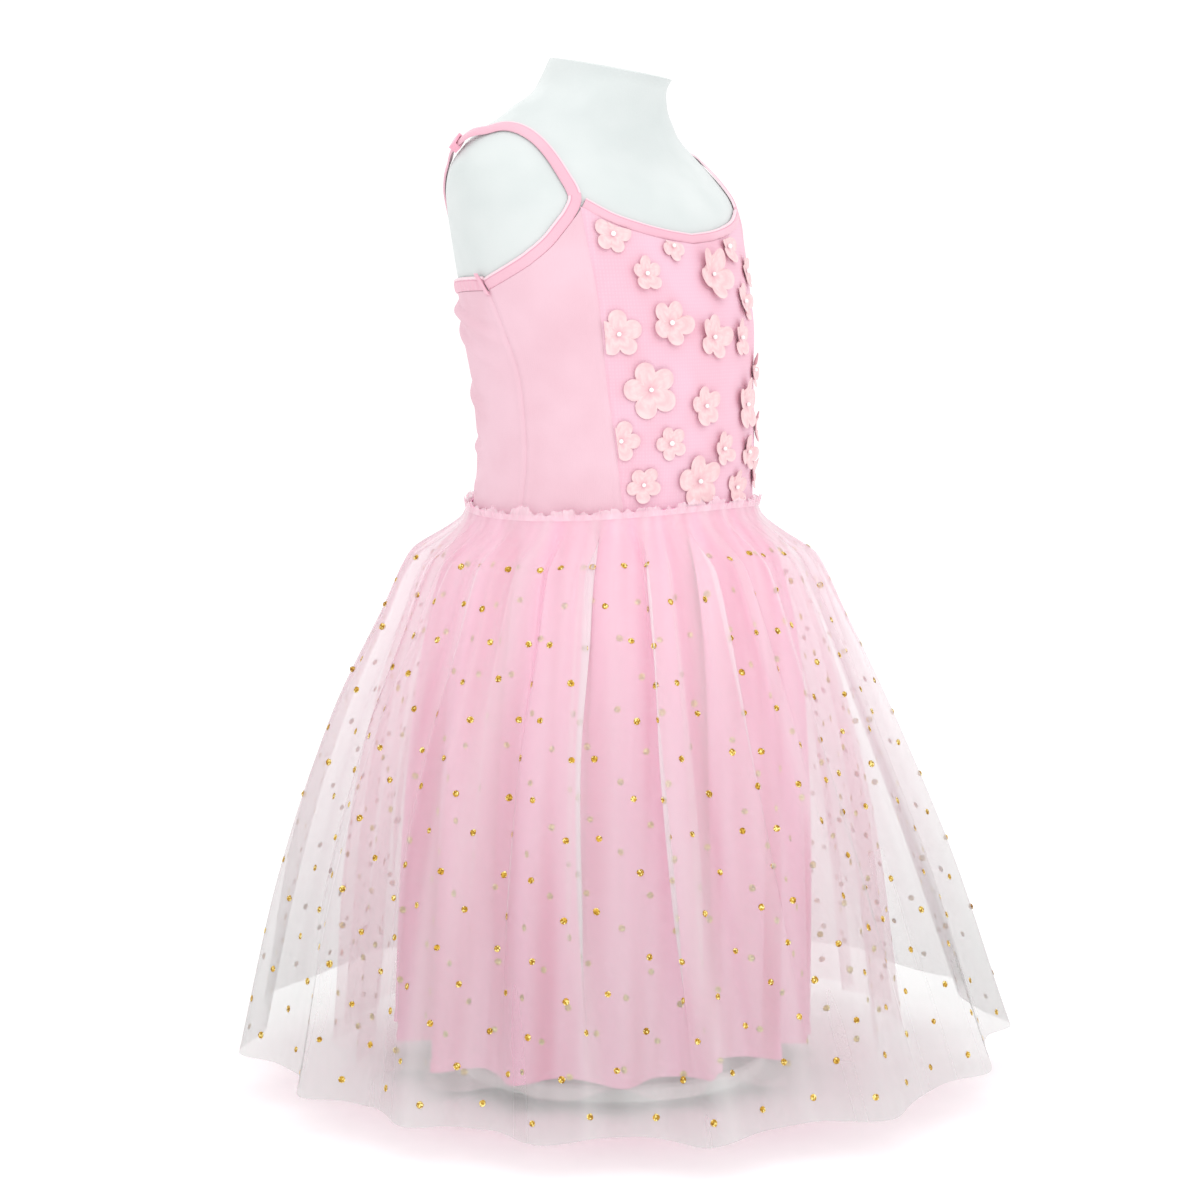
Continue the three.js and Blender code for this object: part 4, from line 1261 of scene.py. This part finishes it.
SKIRT_LAYER = SEAM_GAP + SKIRT_CLOTH
TULLE_OUTER = SkirtLayer(
    "skirt_tulle_outer", 1000, 84, 15, 30, 0.45, 4.0, (28.5, 8.5, -131.5, 1.0), (62, 97),
    wall_start=BODICE_OUT + SKIRT_EASE + 3 * SKIRT_LAYER,
    **curves(
        (20, 140, 229, 293, 334, 354),
        forward=(11, 0, -4.5, -3, -3, -1),
        radius=(243, 208, 176, 148, 129, 114),
        fold=(10, 9, 7, 4, 2, 0.5),
        gather=(0, 0, 0.5, 1.5, 2, 1.5),
        lean=(1, 3, 4, 3, 2, 0),
        pleat=(0, 0.1, 0.6, 1.9, 2.9, 2.0),
        pleat_lean=(0, 0, 0.6, 2.0, 2.4, 1.0),
    ),
    tucks=(
        Tuck(53.4, 11, 6), Tuck(39.4, 9, 5), Tuck(66.7, 8, 4), Tuck(20, 8, 5), Tuck(0, 8, 4),
        Tuck(-24, 9, 5), Tuck(88, 8, 5), Tuck(109, 9, 5), Tuck(150, 8, 5), Tuck(186, 9, 5),
        Tuck(221, 8, 4), Tuck(254, 9, 5), Tuck(292, 8, 5), Tuck(318, 9, 5),
    ),
)
TULLE_INNER = SkirtLayer(
    "skirt_tulle_inner", 800, 64, 16, 0, 0.5, 2.1, (26, 5, -20, 1.5), (54, 81),
    wall_start=BODICE_OUT + SKIRT_EASE + 2 * SKIRT_LAYER,
    **curves(
        (20, 180, 280, 334, 354),
        forward=(6, 2, 0, 0, 0),
        radius=(180, 161, 137, 115, 104.5),
        fold=(11, 8, 4, 2, 0.5),
        gather=(0, 0, 0, 0, 0),
        lean=(1, 2, 2, 1, 0),
        pleat=(0, 0.2, 1.0, 1.4, 0.8),
        pleat_lean=(0, 0.2, 0.8, 1, 0.4),
    ),
    tucks=(
        Tuck(58, 8, 5), Tuck(31, 8, 5), Tuck(79, 8, 4), Tuck(128, 8, 5), Tuck(170, 8, 5),
        Tuck(232, 8, 5), Tuck(301, 8, 5),
    ),
)
LINING = SkirtLayer(
    "skirt_lining", 600, 72, 15, 0, 0.35, 0.4, (15, 4, 45, 1), (38, 57),
    wall_start=BODICE_OUT + SKIRT_EASE + SKIRT_LAYER,
    **curves(
        (20, 180, 280, 334, 354),
        forward=(-9.5, -5, -2, -1, 0),
        radius=(130, 127, 118, 106, 99),
        fold=(11, 8, 5, 2, 0.5),
        gather=(0, 0, 0, 0, 0),
        lean=(1, 2, 2, 1, 0),
        pleat=(0.3, 0.7, 1.4, 1.4, 0.5),
        pleat_lean=(0.3, 0.6, 1, 0.5, 0),
    ),
    tucks=(
        Tuck(111, 9, -9, 3.5), Tuck(54, 8, -8, 3), Tuck(18.5, 9, -9, 3.5), Tuck(84, 6, -7, 3),
        Tuck(-30, 8, -8, 3.5), Tuck(150, 8, -9, 3.5), Tuck(196, 8, -9, 3.5), Tuck(240, 8, -9, 3.5),
        Tuck(285, 8, -9, 3.5),
    ),
    hem_steps=(HemStep(111, 150, 9), HemStep(-30, 18.5, 6), HemStep(196, 240, 7)),
)


@dataclass
class Skirt:
    """Satin underskirt, two layers of tulle, the gathered upper edge and the glitter."""

    lining_cloth: float = 0.6
    lining_length: float = 345.0
    hem_width: float = 9.0
    dot_radius: float = 2.1
    dot_across: float = 36.0
    dot_down: float = 21.5
    dot_corners: int = 10

    def lining(self) -> Object:
        """Satin wall whose hem is turned up once and sewn, so it is thicker over its last 9 mm."""
        points, flat = LINING.grid()
        from_hem = (np.linspace(1, 0, LINING.rows) * self.lining_length)[:, None]
        hem = 0.4 * smooth(self.hem_width + 1, self.hem_width - 1, from_hem)
        hem = hem - 0.5 * bell((from_hem - self.hem_width - 1) / 1.2)
        outward = grid_normals(points)
        outside, inside = points + outward * hem[..., None], points - outward * self.lining_cloth
        piece = Patch.shell(outside, inside, flat, True).write("lining_satin", Wardrobe.SATIN)
        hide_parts(*LINING.gores())
        return piece

    def tulle(self, layer: SkirtLayer, finish: Wardrobe) -> Object:
        """One layer of net as a single surface."""
        points, flat = layer.grid()
        net = Patch.sheet(points, flat, True)
        piece = net.write(layer.name + "_net", finish, closed=False, sharp=180)
        piece.visible_shadow = False    # net scatters on the light that it stops
        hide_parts(*layer.gores())
        return piece

    def dots(self, layer: SkirtLayer, width: float, length: float) -> Patch:
        """Glitter spots on one layer.

        They stand on a staggered lattice of the flat cloth, which the gathers squeeze together at
        the waist. Each is a low cone on the outside of the net: its rim is a circle in the plane
        of the two directions of the cloth there.

        Args:
            layer: the layer of net.
            width: width of the flat cloth round the skirt.
            length: length of the cloth from waist to hem.

        Returns:
            All the spots.
        """
        chance = np.random.default_rng(len(layer.name) + layer.folds)
        columns, rows = int(width / self.dot_across), int(length / self.dot_down)
        column, row = np.meshgrid(np.arange(columns), np.arange(1, rows))
        angle = 360 * (column + row % 2 / 2 + chance.uniform(-0.05, 0.05, column.shape)) / columns
        down = (row + 0.4 + chance.uniform(-0.08, 0.08, row.shape)) / rows
        fallen = blend(waist(angle), layer.radius.at[0], down)
        open_share = layer.radius(fallen) / layer.radius.value[0]
        shown = (down < 0.985) & (chance.uniform(0, 1, down.shape) < open_share**0.6)
        angle, down = angle[shown], down[shown]
        here = layer.point(angle, down)
        around = unit(layer.point(angle + 0.15, down) - layer.point(angle - 0.15, down))
        falling = layer.point(angle, down + 0.002) - layer.point(angle, down - 0.002)
        outward = unit(np.cross(around, falling))
        upright = np.cross(outward, around)
        turn = 2 * math.pi * np.arange(self.dot_corners) / self.dot_corners
        size = self.dot_radius * chance.uniform(0.9, 1.08, (len(angle), 1))
        ragged = size * chance.uniform(0.9, 1.1, (len(angle), self.dot_corners))
        rim = here[:, None] + 0.15 * outward[:, None]
        rim = rim + (ragged * np.cos(turn))[..., None] * around[:, None]
        rim = rim + (ragged * np.sin(turn))[..., None] * upright[:, None]
        heart = here[:, None] + 0.5 * outward[:, None]
        points = np.concatenate([heart, rim], axis=1)
        corner = np.arange(self.dot_corners)
        fan = np.stack([0 * corner, corner + 1, (corner + 1) % self.dot_corners + 1], axis=-1)
        faces = fan[None] + (np.arange(len(angle)) * (self.dot_corners + 1))[:, None, None]
        return Patch(points.reshape(-1, 3), faces.reshape(-1, 3), np.zeros((faces.size // 3, 3, 2)))

    def heading(self) -> Patch:
        """Raw upper edge of the tulle, which the gathering thread pulls into a frill.

        It hides the edges of the layers, stands up from the gathering line by a ragged height and
        waves in and out more and more towards its edge. Five tufts stand higher.
        """
        columns, rows = 1500, 7
        angle = ring(columns)
        turn = np.radians(angle)
        up = np.linspace(1, 0, rows)[:, None]
        ragged = 5.5 + 1.2 * np.sin(23 * turn) + 0.9 * np.sin(67 * turn + 1) + 0.6 * np.sin(173 * turn + 2)
        for tuft, height in ((84.0, 3.5), (14.0, 3.0), (5.0, 2.5), (-120.0, 3.0), (170.0, 2.5)):
            ragged = ragged + height * bell(apart(angle, tuft) / 3.0)
        z = waist(angle) + 4.5 + up * ragged
        wave = np.cos(89 * turn + 3 * np.sin(7 * turn)) + 0.6 * np.cos(151 * turn + 2 * np.sin(11 * turn))
        out = TULLE_OUTER.wall_start + 0.6 + up * (0.8 + 0.7 * wave)
        out = np.maximum(out, TULLE_OUTER.wall_start + 0.2)
        points = FORM.point(angle + 0.6 * up * np.sin(83 * turn), z, out)
        flat = stacked(ring_shares(columns) * 1.6, up * 8 * MM)
        return Patch.sheet(points, flat, True)

    def build(self) -> list[Object]:
        """Make the layers from the inside out, then the frill and the glitter."""
        pieces = [
            self.lining(),
            self.tulle(TULLE_INNER, Wardrobe.TULLE_INNER),
            self.tulle(TULLE_OUTER, Wardrobe.TULLE_OUTER),
        ]
        frill = self.heading().write("waist_frill", Wardrobe.HEADING, closed=False, sharp=180)
        frill.visible_shadow = False
        pieces.append(frill)
        for layer, width, length in ((TULLE_INNER, 1250, 350), (TULLE_OUTER, 1600, 365)):
            spots = self.dots(layer, width, length)
            name = layer.name + "_glitter"
            pieces.append(spots.write(name, Wardrobe.GLITTER, closed=False, sharp=180))
        return pieces


@dataclass
class DressForm:
    """Smooth limbless torso on its pole and base."""

    rows: int = 150
    columns: int = 160
    bottom: float = 250.0
    top: float = 643.0
    neck_slope: float = 0.16
    neck_slope_from: float = 627.0
    cap_rings: int = 8

    def torso(self) -> Object:
        """Rings of the form from the neck down, with a low dome on the neck and a rounded underside.

        The neck's rings tilt: a point is moved up by its distance behind the neck's middle times
        the slope, more and more from 627 to the top.
        """
        z = np.linspace(self.top, self.bottom, self.rows)[:, None]
        wall = FORM.point(ring(self.columns), z)
        share = np.clip((z - self.neck_slope_from) / (self.top - self.neck_slope_from), 0, 1)
        wall[..., 2] += self.neck_slope * share * (wall[..., 1] - 2)
        shrink = np.cos(np.linspace(0.5 * math.pi, 0, self.cap_rings + 1)[:-1])[:, None, None]
        shrink = np.maximum(shrink, 0.004)
        dome = np.sqrt(np.maximum(1 - shrink**2, 0))
        cap = self.cap(wall[0], shrink, 1.5 * dome)
        under = self.cap(wall[-1], shrink[::-1], -0.5 * dome[::-1])
        points = np.concatenate([cap, wall, under])
        rows = np.linspace(0, 1, len(points))[:, None]
        torso = Patch.sheet(points, stacked(ring_shares(self.columns) * 0.6, rows * 0.4), True)
        thing = torso.write("form_torso_smooth", Wardrobe.FORM, closed=False, sharp=50)
        first = np.arange(self.columns)
        last = first + (len(points) - 1) * self.columns
        turn_outwards(thing.data, (first[::-1], last))
        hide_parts("form_torso")
        return thing

    def cap(self, ring: np.ndarray, shrink: np.ndarray, rise: np.ndarray) -> np.ndarray:
        """Rings that shrink towards the middle of a ring and rise by the dome's height."""
        middle = ring.mean(axis=0)
        rings = middle + (ring - middle)[None] * shrink
        rings[..., 2] += rise[..., 0]
        return rings

    def build(self) -> list[Object]:
        """Make the torso and give the pole, base and strap sliders their finishes."""
        for node, finish in (
            ("form_pole", Wardrobe.STAND),
            ("form_base", Wardrobe.STAND),
            ("strap_slider_right", Wardrobe.SLIDER),
            ("strap_slider_left", Wardrobe.SLIDER),
        ):
            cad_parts[node].material_slots[0].material = FABRICS.of(finish)
        return [self.torso()]


@dataclass
class Studio:
    """Pale floor, soft light from all round and the camera of the photograph."""

    turn: float = 48.5
    pitch: float = 6.7
    distance: float = 1950.0
    target: tuple[float, float, float] = (-5.6, 6.3, 304.5)
    focal: float = 3018.6
    picture: int = 1200

    def camera(self) -> None:
        """Camera that looks at the target from the photograph's side and height."""
        turn, pitch = math.radians(self.turn), math.radians(self.pitch)
        level = math.cos(pitch)
        back = Vector((-math.sin(turn) * level, -math.cos(turn) * level, math.sin(pitch)))
        lens = bpy.data.cameras.new("camera")
        lens.sensor_width = 36
        lens.lens = 36 * self.focal / self.picture
        lens.clip_end = 50
        eye = put("camera", lens)
        self.aim(eye, (Vector(self.target) + back * self.distance) * MM, back)
        bpy.context.scene.camera = eye

    def aim(self, thing: Object, spot: Vector, back: Vector) -> None:
        """Put a camera or a lamp at a spot, with its back towards a direction."""
        turned = back.to_track_quat("Z", "Y").to_matrix().to_4x4()
        thing.matrix_world = Matrix.Translation(spot) @ turned

    def floor(self) -> None:
        """Round pale floor, a little uneven in tone."""
        turn = 2 * math.pi * np.arange(96)[None, :] / 96
        reach = np.array([3500.0, 1500.0, 400.0, 1.0])[:, None]
        points = stacked(reach * np.cos(turn), reach * np.sin(turn), -0.2)
        patch = Patch.sheet(points, np.zeros((4, 97, 2)), True)
        mesh = bpy.data.meshes.new("floor")
        mesh.from_pydata((patch.points * MM).tolist(), [], patch.faces[:, ::-1].tolist())
        paint = Finish("matt_studio_paint", "stand", ("#FBFBFB", "#FEFEFE"), 0.9, 0.0, bump=0.0)
        mesh.materials.append(paint.build())
        put("floor", mesh)

    def lamp(self, name: str, spot: tuple[float, float, float], size: float, power: float) -> None:
        """Square soft light at a spot in metres, aimed at the middle of the dress."""
        light = bpy.data.lights.new(name, "AREA")
        light.size = size
        light.energy = power
        self.aim(put(name, light), Vector(spot), Vector(spot) - Vector((0, 0, 0.32)))

    def build(self) -> None:
        """Make the camera, the floor, the lights and the pale surroundings."""
        self.camera()
        self.floor()
        self.lamp("key", (-1.1, -2.05, 1.6), 1.4, 11)
        self.lamp("back", (0.8, 2.2, 2.0), 1.6, 5)
        self.lamp("top", (0.1, 0.2, 3.2), 2.6, 8)
        world = bpy.data.worlds.new("studio")
        world.use_nodes = True
        surround = world.node_tree.nodes["Background"]
        surround.inputs["Color"].default_value = linear("#FFFFFF")
        surround.inputs["Strength"].default_value = 1.12
        scene = bpy.context.scene
        scene.world = world
        scene.view_settings.view_transform = "Standard"
        scene.cycles.transparent_max_bounces = 32


def main() -> None:
    """Build the studio, then the form, the bodice, the bindings, the flowers and the skirt."""
    logging.basicConfig(level=logging.INFO, format="%(name)s: %(message)s")
    Studio().build()
    pieces = DressForm().build()
    for part in (Bodice(), Bindings(), FlowerBed(), Skirt()):
        pieces += part.build()
    log.info("%d pieces", len(pieces))


if __name__ == "__main__":
    main()
